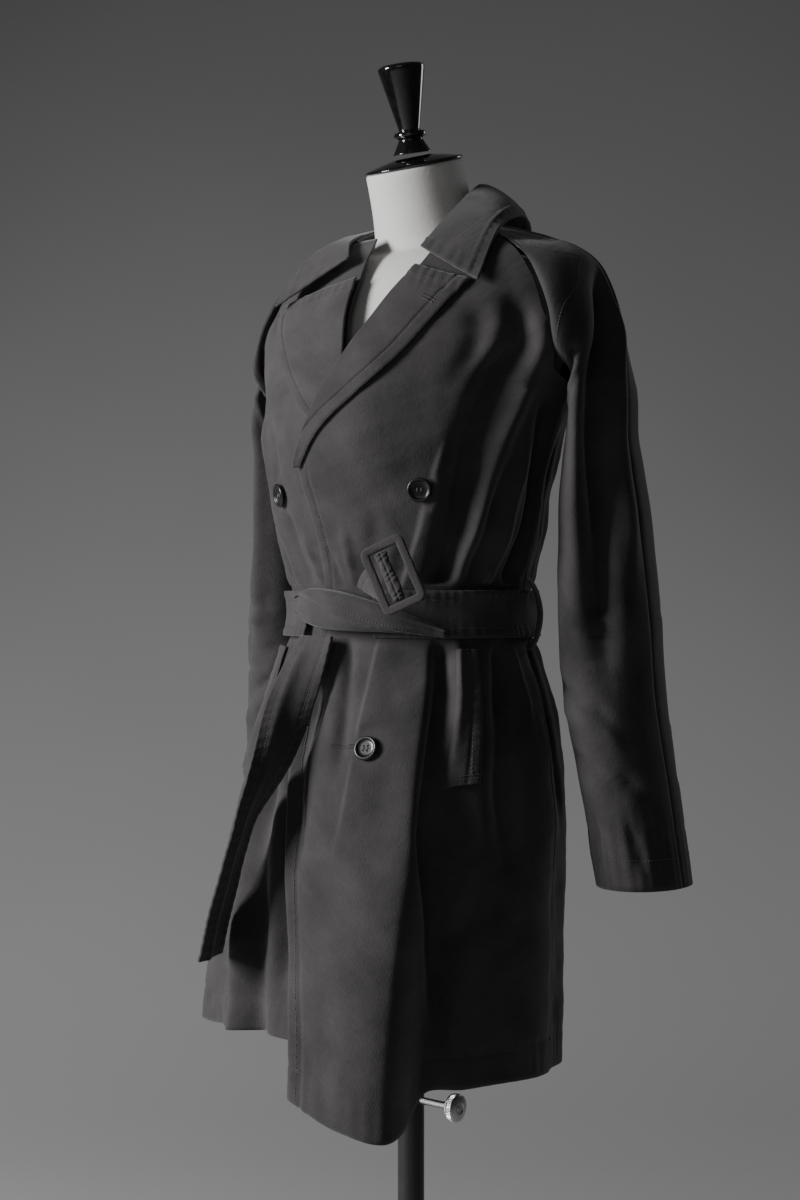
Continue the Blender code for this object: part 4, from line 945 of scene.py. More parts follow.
def sleeve_rows(back, side):
    """Over-arm point, bulge and seam of each row, from the neck seam to the cuff."""
    rows = []
    for over, front_bulge, back_bulge, front_seam, back_seam in SLEEVE_CAP:
        seam = seam_point(back_seam if back else front_seam, back, side)
        bulge = back_bulge if back else front_bulge
        rows.append((worn_side(over, side), worn_side(bulge, side), seam))
    for z, x, y, width, front, rear in SLEEVE_TUBE:
        depth = rear if back else -front
        ring = ((x + width, y, z), (x, y + depth, z), (x - width, y, z))
        rows.append([worn_side(point, side) for point in ring])
    return np.array(rows)


def sleeve_surface(back, side):
    """Outer face of half a raglan sleeve. Each row is half an ellipse from the over-arm
    seam to the inner seam; the folds and the cuff's stitching move it along its normal."""
    rows = sleeve_rows(back, side)
    keyed = np.concatenate([np.arange(len(rows))[:, None], rows.reshape(len(rows), 9)], axis=1)
    folds = BACK_ARM_FOLDS if back else FRONT_ARM_FOLDS

    def plain(down, across):
        shape = along(keyed, down * (len(rows) - 1)).reshape(*down.shape, 3, 3)
        over, bulge, seam = shape[..., 0, :], shape[..., 1, :], shape[..., 2, :]
        over[..., 1] += (OVERARM_GAP * (1 - down) ** 2 + SEAM_GAP) * (1 if back else -1)
        centre = (over + seam) / 2
        turn = (math.pi - INNER_MARGIN * down)[..., None] * across[..., None]
        flat = 1 + CAP_FLATNESS * (ramp((CAP_ROWS - down) / CAP_FADE) * across)[..., None]
        return centre + (over - centre) * np.cos(turn) + (bulge - centre) * np.abs(np.sin(turn)) ** flat

    def surface(down, across):
        points = plain(down, across)
        normal = normals_of(plain, down, across)
        if back == (side < 0):
            normal = -normal
        u, z = across * ARM_GIRTH, points[..., 2]
        edge = ramp(across / 0.03) * ramp((1 - across) / 0.05)
        seam_side = (1 - across) * 0.30
        cap = ramp((z - 1.262) / 0.03)
        rise = creases(folds, u, z) + 0.0008 * uneven(u + side, z, 2.2, 0.055)
        rise = rise * (0.12 + 0.88 * edge) * (1 - 0.4 * ramp((0.80 - z) / 0.02))
        cuff = (1 - down) * 0.62
        rise = rise + seam_hollow(cuff, 0.0010, CUFF_STITCH) + puckers(u, cuff, CUFF_STITCH, 0.0004)
        rise = rise - 0.0006 * np.exp(-(across * ARM_GIRTH / 0.0015) ** 2)
        rise = rise - 0.0024 * cap * np.exp(-(seam_side / 0.010) ** 2)
        rise = rise + cap * seam_hollow(seam_side, 0.0010, 0.012)
        return points + normal * rise[..., None]
    return surface


def sleeves():
    """Two raglan sleeves in halves, with over-arm and cuff stitching."""
    pieces, runs = [], []
    for label, side in (("left", 1), ("right", -1)):
        for half, back in (("front", False), ("back", True)):
            surface = sleeve_surface(back, side)
            if back == (side < 0):
                surface = mirrored(surface)
            over = "high" if back == (side < 0) else "low"
            inner = "low" if over == "high" else "high"
            node = "sleeve_" + half + "_" + label
            points = surface(*grid(180, 62))
            pieces.append(cloth(node + "_cloth", points, node))
            down, across = inset_line(surface, "bottom", CUFF_STITCH, 0.01, 0.99, 120)
            runs.append(seam_line(surface, down, across))
            if not back:
                down, across = inset_line(surface, inner, 0.0075, 0.02, 0.42, 240)
                runs.append(seam_line(surface, down, across))
            else:
                down, across = inset_line(surface, over, 0.0065, 0.01, 0.98, 400)
                runs.append(seam_line(surface, down, across))
    return pieces, runs


# ---- Collar and lapels ------------------------------------------------------------
def lapel_surface(side):
    """A turned-back lapel lying on its front, rolled at its inner edge, with its
    topstitched outer edge; columns run from the roll line outwards."""
    edge_table, outline = (LEFT_EDGE, LEFT_LAPEL) if side > 0 else (RIGHT_EDGE, RIGHT_LAPEL)

    def surface(down, across):
        top, bottom = outline[-1][0], outline[0][0]
        z_roll = top + (bottom - top) * down
        outer = along(outline, z_roll)
        x_roll = along(edge_table, z_roll)[..., 0] + side * SEAM_GAP
        x = x_roll + (outer[..., 0] - x_roll) * across
        z = z_roll - outer[..., 1] * across
        angle = angle_of_x(x, z)
        below = front_lift(angle, z, LAYER if side > 0 else 0, side)
        width = np.abs(outer[..., 0] - x_roll)
        from_edge, from_top = (1 - across) * width, down * (top - bottom)
        rise = seam_hollow(from_edge, 0.0010, EDGE_STITCH) + puckers(z, from_edge, EDGE_STITCH)
        rise = rise + seam_hollow(from_top, 0.0010, EDGE_STITCH) * ramp(width / 0.02)
        rise = rise + puckers(x, from_top, EDGE_STITCH, 0.0003)
        rise = rise + 0.0007 * uneven(x, z, 3.1, 0.050) + 0.0008 * ramp(across) * (1 - down)
        rise = rise - 0.0009 * (np.exp(-(from_edge / 0.0014) ** 2) + np.exp(-(from_top / 0.0014) ** 2))
        lift = below + LAPEL_LIFT + ROLL_HEIGHT * (1 - across) ** 2 + rise
        return body_layer(angle, z, lift)
    return surface


def lapels():
    """Both lapels and their stitching."""
    pieces, runs = [], []
    for label, side in (("left", 1), ("right", -1)):
        surface = lapel_surface(side)
        flow = surface if side > 0 else mirrored(surface)
        outer = "high" if side > 0 else "low"
        points = flow(*grid(100, 60))
        node = "lapel_" + label
        pieces.append(cloth(node + "_cloth", points, node,
                            TRIMS))
        down, across = inset_line(flow, outer, EDGE_STITCH, 0.075, 0.90, 240)
        runs.append(seam_line(flow, down, across))
        first, last = (0.04, 0.86) if side > 0 else (0.14, 0.96)
        down, across = inset_line(flow, "top", EDGE_STITCH, first, last, 120)
        runs.append(seam_line(flow, down, across))
    return pieces, runs


def neck_ring(table, share):
    """Points of one collar line from the right front round the back to the left front."""
    return along(even_key(table), share)


def outward(points):
    """Level unit directions away from the neck's axis."""
    away = points[..., :2] - np.array(NECK_BASE)[:2]
    return away / np.linalg.norm(away, axis=-1, keepdims=True)


def stand_surface(down, across):
    """Collar stand: straight from the fold line down to the neck seam."""
    low = neck_ring(STAND_SEAM, across)
    start, end = STAND_RANGE
    high = neck_ring(COLLAR_FOLD, start + (end - start) * across)
    stand = high + (low - high) * down[..., None]
    stand[..., :2] -= STAND_INSET * outward(stand)
    return stand


def leaf_plain(down, across):
    """Collar leaf from the fold line to its edge, swelling a little outwards between."""
    high, edge = neck_ring(COLLAR_FOLD, across), neck_ring(COLLAR_EDGE, across)
    leaf = high + (edge - high) * down[..., None]
    swell = COLLAR_SWELL * np.sin(math.pi * down) ** 0.8 * np.abs(np.sin(math.pi * across)) ** 0.4
    leaf[..., :2] += 0.6 * swell[..., None] * outward(leaf)
    leaf[..., 2] += 0.8 * swell
    return leaf


def leaf_surface(down, across):
    """The leaf with its topstitched edges pressed in and soft waves."""
    fall, round_neck = 0.066, 0.55
    from_edge = (1 - down) * fall
    from_end = np.minimum(across, 1 - across) * round_neck
    rise = seam_hollow(from_edge, 0.0010, EDGE_STITCH) + puckers(across * round_neck, from_edge, EDGE_STITCH)
    rise = rise + seam_hollow(from_end, 0.0010, EDGE_STITCH) + puckers(down * fall, from_end,
                                                                       EDGE_STITCH, 0.0003)
    rise = rise + 0.0007 * uneven(across * round_neck, down * fall, 5.2, 0.045)
    rise = rise - 0.0009 * (np.exp(-(from_edge / 0.0014) ** 2) + np.exp(-(from_end / 0.0014) ** 2))
    return leaf_plain(down, across) + normals_of(leaf_plain, down, across) * rise[..., None]


def collar():
    """Stand and leaf with the leaf's stitching."""
    pieces = [cloth("collar_stand_cloth", stand_surface(*grid(20, 150)), "collar_stand",
                    TRIMS),
              cloth("collar_leaf_cloth", leaf_surface(*grid(40, 220)), "collar_leaf",
                    TRIMS, 0.0022)]
    runs = []
    down, across = inset_line(leaf_surface, "bottom", EDGE_STITCH, 0.025, 0.975, 500)
    runs.append(seam_line(leaf_surface, down, across))
    for edge in ("low", "high"):
        down, across = inset_line(leaf_surface, edge, EDGE_STITCH, 0.06, 0.80, 120)
        runs.append(seam_line(leaf_surface, down, across))
    return pieces, runs


# ---- Welts, loops and belt --------------------------------------------------------
WELTS = {"left": ((51, 1.000), (61, 1.000), (60, 0.872), (46.5, 0.868)),
         "right": ((-61, 1.000), (-51, 1.000), (-46.5, 0.868), (-60, 0.872))}


def welt_surface(label):
    """A slanted pocket welt on the cloth, its edges pressed thin."""
    (a0, z0), (a1, z1), (a2, z2), (a3, z3) = WELTS[label]

    def surface(down, across):
        degrees = (a0 * (1 - across) + a1 * across) * (1 - down) + (a3 * (1 - across) + a2 * across) * down
        z = (z0 * (1 - across) + z1 * across) * (1 - down) + (z3 * (1 - across) + z2 * across) * down
        angle = np.radians(degrees)
        open_edge = (1 - across if label == "left" else across) * 0.030
        sewn = (across if label == "left" else 1 - across) * 0.030
        rise = seam_hollow(open_edge, 0.0009, 0.010) + puckers(z, open_edge, 0.010, 0.0003)
        thin = -0.0030 * np.exp(-(sewn / 0.004) ** 2) - 0.0008 * np.exp(-(open_edge / 0.0013) ** 2)
        return body_layer(angle, z, FLAP_LIFT - 0.0010 + drape(angle, z) + rise + thin)
    return surface


def welts():
    """Both pocket welts with their stitching and bar tacks."""
    pieces, runs = [], []
    for label in ("left", "right"):
        surface = welt_surface(label)
        pieces.append(cloth("welt_" + label + "_cloth", surface(*grid(90, 28)), "welt_" + label,
                            TRIMS))
        edge = "high" if label == "left" else "low"
        down, across = inset_line(surface, edge, 0.010, 0.02, 0.93, 160)
        runs.append(seam_line(surface, down, across, 0.0042))
        for share in (0.928, 0.955):
            run = np.linspace(0.45, 0.97, 40) if label == "left" else np.linspace(0.03, 0.55, 40)
            runs.append(seam_line(surface, share + 0 * run, run, 0.0028))
    return pieces, runs


def loops():
    """Narrow belt carriers standing off the side seams."""
    pieces = []
    for label, side in (("left", 1), ("right", -1)):
        def surface(down, across, side=side):
            z = WAIST_Z + LOOP_HEIGHT * (0.5 - down)
            lift = LOOP_FOOT + LOOP_RISE * np.sin(math.pi * down) ** 0.6
            lift = lift + 0.0006 * np.cos((across - 0.5) * math.pi)
            half = math.radians(LOOP_HALF_ANGLE)
            return body_layer(side * SIDE_SEAM + (2 * across - 1) * half, z, lift)
        pieces.append(cloth("belt_loop_" + label + "_cloth", surface(*grid(90, 16)), "belt_loop_" + label,
                            TRIMS, 0.0016))
    return pieces


def belt_surface(down, across):
    """Waist belt: a band round the coat, hollowed a little and pulled in short ripples."""
    angle = np.radians(BELT_START + (BELT_END - BELT_START) * across)
    z = WAIST_Z + BELT_WIDTH * (0.5 - down)
    u, from_edge = angle * GIRTH, BELT_WIDTH * np.minimum(down, 1 - down)
    lift = BELT_LIFT - 0.0008 * np.sin(math.pi * down)
    lift = lift + 0.0009 * uneven(u, z * 0.4, 2.7, 0.060) + puckers(u, from_edge, 0.010, 0.0004)
    lift = lift + seam_hollow(from_edge, 0.0007, 0.010) - 0.0006 * np.exp(-(from_edge / 0.0012) ** 2)
    rise_front = 0.0010 * np.sin(down * 5 + 1) * np.exp(-((np.degrees(angle) - 45) / 22) ** 2)
    return body_layer(angle, z, lift + rise_front)


def band_surface(route, width_waves=0.0, twist_fold=None):
    """A band along rows of (centre x, y, z, half-width x, y, z), its edges pressed thin
    and soft waves along it; `twist_fold` adds a standing fold along its length."""
    keyed = even_key(route)

    def plain(down, across):
        shape = along(keyed, down)
        return shape[..., :3] + shape[..., 3:] * (2 * across - 1)[..., None]

    def surface(down, across):
        length = np.linalg.norm(np.diff(np.array(route)[:, :3], axis=0), axis=1).sum()
        from_edge = BELT_WIDTH * np.minimum(across, 1 - across)
        run = down * length
        rise = seam_hollow(from_edge, 0.0006, 0.010) + puckers(run, from_edge, 0.010, 0.0004)
        rise = rise + width_waves * uneven(run, across * 0.05, 1.9, 0.080)
        if twist_fold:
            high, middle, wide = twist_fold
            rise = rise + high * np.exp(-((across - middle) / wide) ** 2) * ramp(down / 0.1)
        return plain(down, across) + normals_of(plain, down, across) * rise[..., None]
    return surface


def knot_route():
    """Route of the knot's band across the front of the belt."""
    rows = []
    for angle, z, lift, half in KNOT:
        rows.append((*body_layer(math.radians(angle), z, lift), 0.0, 0.0, half))
    return rows


def knot_surface(down, turn):
    """The knot's front band: an oval tube carried along its route. `turn` goes once round
    from the top edge over the front. A slanting fold crosses its front, and the cloth is
    gathered at both ends."""
    route = even_key(knot_route())
    shape = along(route, down)
    centre, half = shape[..., :3], shape[..., 3:]
    forward = along(route, np.clip(down + 0.02, 0, 1))[..., :3]
    forward = forward - along(route, np.clip(down - 0.02, 0, 1))[..., :3]
    out = unit(np.cross(forward, half))
    theta = turn * 2 * math.pi
    flat = np.sign(np.cos(theta)) * np.abs(np.cos(theta)) ** 0.8
    thick = 0.0018 + 0.0058 * np.sin(math.pi * np.clip(down * 1.05, 0, 1)) ** 0.8
    fold_at = 0.07 + 0.40 * down
    front = ramp(np.sin(theta) * 2)
    step = ramp((fold_at - turn) / 0.035 + 0.5)
    rise = front * (0.0030 * step - 0.0016 * np.exp(-((turn - fold_at - 0.012) / 0.016) ** 2))
    gather = 0.0011 * np.sin(turn * 46 + 7 * down) * (
        np.exp(-(down / 0.22) ** 2) + np.exp(-((1 - down) / 0.2) ** 2))
    gather = gather + 0.0009 * uneven(down * 0.13, turn * 0.05, 3.3, 0.030)
    over = thick * np.sin(theta) + (rise + gather) * front
    return centre + half * flat[..., None] + out * over[..., None]


def cloth_tube(name, points, node, wall=0.0008):
    """A strip of cloth sewn into an open-ended tube, with its wall inwards. Its cut is
    measured all round."""
    mesh = grid_mesh(name, points, close_across=True)
    outwards(mesh)
    shade(mesh, 70)
    thing = finish_object(name, mesh, TRIMS)
    solid = thing.modifiers.new("wall", "SOLIDIFY")
    solid.thickness = wall
    solid.offset = -1
    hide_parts(node)
    width, length, area = cloth_sizes(np.concatenate([points, points[:, :1]], axis=1))
    return thing


def knot():
    """The knot band and its short line of topstitching."""
    down, turn = grid(80, 57)
    points = knot_surface(down, turn)[:, :-1]
    piece = cloth_tube("belt_knot_cloth", points, "belt_knot")
    run = np.linspace(0.20, 0.86, 120)
    line = 0.035 + 0.36 * run
    spots, ahead = knot_surface(run, line), knot_surface(run, line + 0.01)
    down_run = knot_surface(run + 0.01, line)
    normal = unit(np.cross(ahead - spots, down_run - spots))
    normal = np.where(normal[:, 1:2] > 0, -normal, normal)
    return [piece], [stitch_places(spots, normal, 0.0034)]


def with_caps(mesh, centres, rows, columns):
    """Close both ends of a tube of rings with a fan to a centre point."""
    points = np.zeros(len(mesh.vertices) * 3)
    mesh.vertices.foreach_get("co", points)
    points = points.reshape(-1, 3)
    faces = [tuple(face.vertices) for face in mesh.polygons]
    count = len(points)
    last = (rows - 1) * columns
    for i in range(columns):
        j = (i + 1) % columns
        faces.append((count, i, j))
        faces.append((count + 1, last + j, last + i))
    spots = [uv.uv[:] for uv in mesh.uv_layers[0].data]
    spots += [(0.0, 0.0)] * (columns * 6)
    name = mesh.name
    bpy.data.meshes.remove(mesh)
    made = bpy.data.meshes.new(name)
    made.from_pydata(np.concatenate([points, np.array(centres)]).tolist(), [], faces)
    layer = made.uv_layers.new(name="cloth")
    layer.data.foreach_set("uv", np.array(spots, dtype=np.float32).reshape(-1))
    outwards(made)
    return made


def outwards(mesh):
    """Turn every face of a closed mesh or an open-ended tube outwards."""
    work = bmesh.new()
    work.from_mesh(mesh)
    bmesh.ops.recalc_face_normals(work, faces=work.faces)
    work.to_mesh(mesh)
    work.free()


def belts():
    """Waist belt, free end and buckle strap with their stitching."""
    runs = []
    pieces = [cloth("belt_waist_cloth", belt_surface(*grid(16, 480)), "belt_waist",
                    TRIMS, 0.0026)]
    for share in (0.2, 0.8):
        run = np.linspace(0.003, 0.997, 900)
        runs.append(seam_line(belt_surface, share + 0 * run, run))
    tail = band_surface(TAIL, 0.0012, (0.0030, 0.30, 0.16))
    pieces.append(cloth("belt_tail_cloth", tail(*grid(180, 28)), "belt_tail",
                        TRIMS, 0.0030))
    for share in (0.2, 0.8):
        run = np.linspace(0.02, 0.97, 300)
        runs.append(seam_line(tail, run, share + 0 * run))
    run = np.linspace(0.2, 0.8, 60)
    runs.append(seam_line(tail, 0.972 + 0 * run, run))
    strap = band_surface(STRAP_ROUTE, 0.0006)
    pieces.append(cloth("belt_strap_cloth", strap(*grid(60, 36)), "belt_strap",
                        TRIMS, 0.0026))
    run = np.linspace(0.02, 0.9, 60)
    runs.append(seam_line(strap, 0.16 + 0 * run, run))
    return pieces, runs


# ---- Buckle -----------------------------------------------------------------------
def plate_matrix(centre, along_axis, across_axis):
    """Placement whose local Y runs along the first axis and X along the second."""
    long_axis = Vector(along_axis).normalized()
    normal = Vector(across_axis).cross(long_axis).normalized()
    wide_axis = long_axis.cross(normal)
    turned_frame = Matrix((wide_axis, long_axis, normal)).transposed().to_4x4()
    turned_frame.translation = Vector(centre)
    return turned_frame


BUCKLE_PLACE = plate_matrix(BUCKLE_CENTRE, BUCKLE_LONG, BUCKLE_SHORT)


def placed(points, matrix):
    """Points carried by a placement."""
    frame_of = np.array(matrix)
    return points @ frame_of[:3, :3].T + frame_of[:3, 3]


def round_track(width, length, radius, share):
    """Closed rectangle with round corners, and its outward direction, at shares of 0 to 1."""
    corners = ((1, 1), (-1, 1), (-1, -1), (1, -1))
    spots, ways = [], []
    for i, (sx, sy) in enumerate(corners):
        for turn in np.linspace(0, math.pi / 2, 13):
            way = np.array((math.cos(turn + i * math.pi / 2), math.sin(turn + i * math.pi / 2)))
            spots.append(np.array((sx * (width / 2 - radius), sy * (length / 2 - radius))) + way * radius)
            ways.append(way)
    spots, ways = np.array(spots + spots[:1]), np.array(ways + ways[:1])
    run = np.concatenate([[0], np.cumsum(np.linalg.norm(np.diff(spots, axis=0), axis=1))])
    at = share * run[-1]
    spot = np.stack([np.interp(at, run, spots[:, i]) for i in range(2)], axis=-1)
    way = np.stack([np.interp(at, run, ways[:, i]) for i in range(2)], axis=-1)
    return spot, way


def closed_tube(name, points, material):
    """A ring-shaped tube: both directions of the grid close on themselves."""
    ring = np.concatenate([points, points[:1]], axis=0)
    mesh = grid_mesh(name, ring, close_across=True)
    work = bmesh.new()
    work.from_mesh(mesh)
    bmesh.ops.remove_doubles(work, verts=work.verts, dist=0.00001)
    bmesh.ops.recalc_face_normals(work, faces=work.faces)
    work.to_mesh(mesh)
    work.free()
    shade(mesh, 60)
    return finish_object(name, mesh, material)


def buckle():
    """Cloth-covered rectangular frame, and the strap's end gathered round its bar."""
    share = np.linspace(0, 1, 300, endpoint=False)[:, None]
    theta = np.linspace(0, 2 * math.pi, 40, endpoint=False)[None, :]
    share, theta = np.broadcast_arrays(share, theta)
    spot, way = round_track(BUCKLE_WIDTH - BUCKLE_BAR, BUCKLE_LENGTH - BUCKLE_BAR, 0.0045, share)
    wide = BUCKLE_BAR / 2 * np.sign(np.cos(theta)) * np.abs(np.cos(theta)) ** 0.62
    high = BUCKLE_THICK / 2 * np.sign(np.sin(theta)) * np.abs(np.sin(theta)) ** 0.72
    soft = 0.00012 * np.sin(share * 260 + 3 * np.sin(theta)) + 0.00015 * uneven(share * 0.2,
                                                                                theta * 0.002, 1.1, 0.02)
    flat = spot + way * (wide + soft)[..., None]
    points = np.concatenate([flat, (high * (1 + 30 * soft))[..., None]], axis=-1)
    rim = closed_tube("buckle_frame_covered", placed(points, BUCKLE_PLACE), TRIMS)
    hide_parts("buckle_frame")
    down, turn = grid(130, 65)
    theta = turn * 2 * math.pi
    y = (0.5 - down) * (BUCKLE_LENGTH - 2 * BUCKLE_BAR - 0.0020)
    gather = 0.0003 * np.sin(y * 900 + 2.0 * np.sin(y * 300) + 3 * np.cos(theta))
    gather = gather + 0.0005 * uneven(y, turn * 0.03, 2.4, 0.016)
    wide = (0.0062 + gather + 0.0006 * np.sin(y * 180)) * np.cos(theta)
    ends = np.clip(np.minimum(down, 1 - down) / 0.03, 0.25, 1) ** 0.5
    x = wide * ends - 0.0035
    high = (0.0034 + gather) * np.sin(theta) * ends - 0.0009 * np.exp(
        -((wide - 0.0002) / 0.0010) ** 2) * np.sin(theta)
    points = placed(np.stack([x, y, high], axis=-1), BUCKLE_PLACE)[:, :-1]
    wrap = cloth_tube("buckle_bar_wrap", points, "buckle_bar")
    share = np.concatenate([np.linspace(0, 1, 260), [0.004]])
    spot, way = round_track(BUCKLE_WIDTH - BUCKLE_BAR, BUCKLE_LENGTH - BUCKLE_BAR, 0.0045, share)
    line = np.concatenate([spot + way * 0.0014, share[:, None] * 0 + BUCKLE_THICK / 2 * 0.97], axis=1)
    up = np.array(BUCKLE_PLACE)[:3, 2]
    return [rim, wrap], [stitch_places(placed(line, BUCKLE_PLACE), np.tile(up, (len(line), 1)), 0.0030)]


# ---- Turned pieces ----------------------------------------------------------------
def eased(profile, radius):
    """A profile of (radius, height) with every inner corner rounded by a short curve."""
    profile = np.array(profile, dtype=float)
    spots = [profile[0]]
    for before, corner, after in zip(profile, profile[1:], profile[2:]):
        for arm in (before, after):
            reach = min(radius, np.linalg.norm(arm - corner) * 0.45)
            start = corner + (arm - corner) / max(np.linalg.norm(arm - corner), 1e-9) * reach
            if arm is before:
                first = start
        for t in np.linspace(0, 1, 6):
            spots.append(first * (1 - t) ** 2 + corner * 2 * t * (1 - t) + start * t * t)
    spots.append(profile[-1])
    return np.array(spots)


def lathe(name, profile, matrix, material, steps=96, body="form", wave=None):
    """A profile from the top of its axis to the bottom of its axis, turned about local Z.
    `wave` adds to the radius at each turn."""
    turn = np.linspace(0, 2 * math.pi, steps, endpoint=False)
    radius, height = profile[1:-1, :1], profile[1:-1, 1:]
    reach = radius + (wave(turn[None, :], radius, height) if wave else 0)
    points = np.stack([reach * np.sin(turn), -reach * np.cos(turn), height + 0 * turn], axis=-1)
    points = placed(points, matrix)
    mesh = grid_mesh(name, points, close_across=True)
    ends = placed(np.array([(0, 0, profile[0][1]), (0, 0, profile[-1][1])]), matrix)
    mesh = with_caps(mesh, list(ends), *points.shape[:2])
    shade(mesh, 42)
    mesh.materials.append(material)
    thing = bpy.data.objects.new(name, mesh)
    bpy.context.scene.collection.objects.link(thing)
    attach(thing, body)
    return thing


def facing(centre, normal):
    """Placement whose local Z points along a normal."""
    turned_frame = Vector(normal).to_track_quat("Z", "Y").to_matrix().to_4x4()
    turned_frame.translation = Vector(centre)
    return turned_frame


def button(name, x, z, lift):
    """A four-holed button: a dished face inside a raised round rim, with four dents for
    the holes and two bars of thread across them."""
    rim, thick = 0.0125, 0.0042
    profile = eased(((0, thick * 0.50), (rim * 0.50, thick * 0.50), (rim * 0.66, thick * 0.58),
                     (rim * 0.76, thick * 0.98),
                     (rim * 0.90, thick), (rim, thick * 0.60), (rim * 0.93, thick * 0.12),
                     (rim * 0.72, 0), (0, 0)), 0.0007)
    inner = np.linspace(rim * 0.02, rim * 0.46, 26)
    face = np.stack([inner, inner * 0 + thick * 0.50], axis=1)
    body_rows = profile[profile[:, 0] > rim * 0.47]
    rows = np.concatenate([face, body_rows])
    turn = np.linspace(0, 2 * math.pi, 96, endpoint=False)
    px, py = rows[:, :1] * np.sin(turn), -rows[:, :1] * np.cos(turn)
    height = rows[:, 1:] + 0 * turn
    top = np.arange(len(rows))[:, None] < len(face)
    for sx, sy in ((1, 1), (1, -1), (-1, 1), (-1, -1)):
        away = np.hypot(px - sx * 0.0021, py - sy * 0.0021)
        height = height - top * 0.0013 * ramp((0.00125 - away) / 0.0004)
    up = np.array(place_on_front(x, z, lift + 0.01)) - np.array(place_on_front(x, z, lift))
    matrix = facing(place_on_front(x, z, lift), up)
    points = placed(np.stack([px, py, height], axis=-1), matrix)
    mesh = grid_mesh(name, points, close_across=True)
    ends = placed(np.array([(0, 0, thick * 0.50), (0, 0, 0)]), matrix)
    mesh = with_caps(mesh, list(ends), *points.shape[:2])
    shade(mesh, 40)
    piece = finish_object(name + "_horn", mesh, HORN)
    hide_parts(name)
    bars = []
    for offset in (-0.0021, 0.0021):
        for shift in (-0.00035, 0.00035):
            bars.append((offset + shift, 0, thick * 0.50))
    centre = placed(np.array(bars), matrix)
    ahead = np.tile(np.array(matrix)[:3, 1], (len(bars), 1))
    normal = np.tile(np.array(matrix)[:3, 2], (len(bars), 1))
    return piece, (centre, ahead, normal)


def place_on_front(x, z, lift):
    """Point on the front of the coat at a given x and height."""
    return body_layer(angle_of_x(x, z), z, lift)


def buttons():
    """Four buttons, their threads, and two worked buttonholes."""
    pieces, bars = [], []
    for name, x, z, lift in BUTTONS:
        piece, bar = button(name, x, z, lift + BUTTON_CLEAR)
        pieces.append(piece)
        bars.append(bar)
    pieces.append(stitch_mesh("button_threads", bars, 0.0056, 0.00042, 0.0005, 0.0002))
    runs = []
    for start, end, height in BUTTONHOLES:
        run = np.linspace(start - 0.001, end + 0.001, 34)
        for side in (-1, 1):
            z = height + side * 0.0013 + 0 * run
            runs.append(hole_stitches(run, z))
    runs.append(lapel_hole())
    pieces.append(stitch_mesh("buttonhole_stitches", runs, 0.0019, 0.00036, 0.00034, 0.0003))
    return pieces


def hole_stitches(x, z, lift=LAYER):
    """Upright stitches side by side along one lip of a buttonhole."""
    angle = angle_of_x(x, z)
    centre = body_layer(angle, z, lift + drape(angle, z))
    normal = body_layer(angle, z, lift + 0.01) - body_layer(angle, z, lift)
    upright = body_layer(angle, z + 0.002, lift) - body_layer(angle, z, lift)
    return centre, upright, unit(normal)


def lapel_hole():
    """Buttonhole worked in the left lapel, square to its outer edge."""
    surface = lapel_surface(1)
    share = np.linspace(0, 1, 30)
    down = np.concatenate([0.124 + 0.009 * share, 0.137 + 0.009 * share])
    across = np.concatenate([0.56 + 0.26 * share, 0.56 + 0.26 * share])
    centre = surface(down, across)
    normal = normals_of(surface, down, across)
    line = surface(down + 0.0009, across + 0.026) - surface(down - 0.0009, across - 0.026)
    return centre, np.cross(normal, line), normal


# ---- Dress form, neck top and stand -----------------------------------------------
ROD_BORE = 0.0118
FORM_BOTTOM = 0.900
SOCKET_TOP = 0.9606


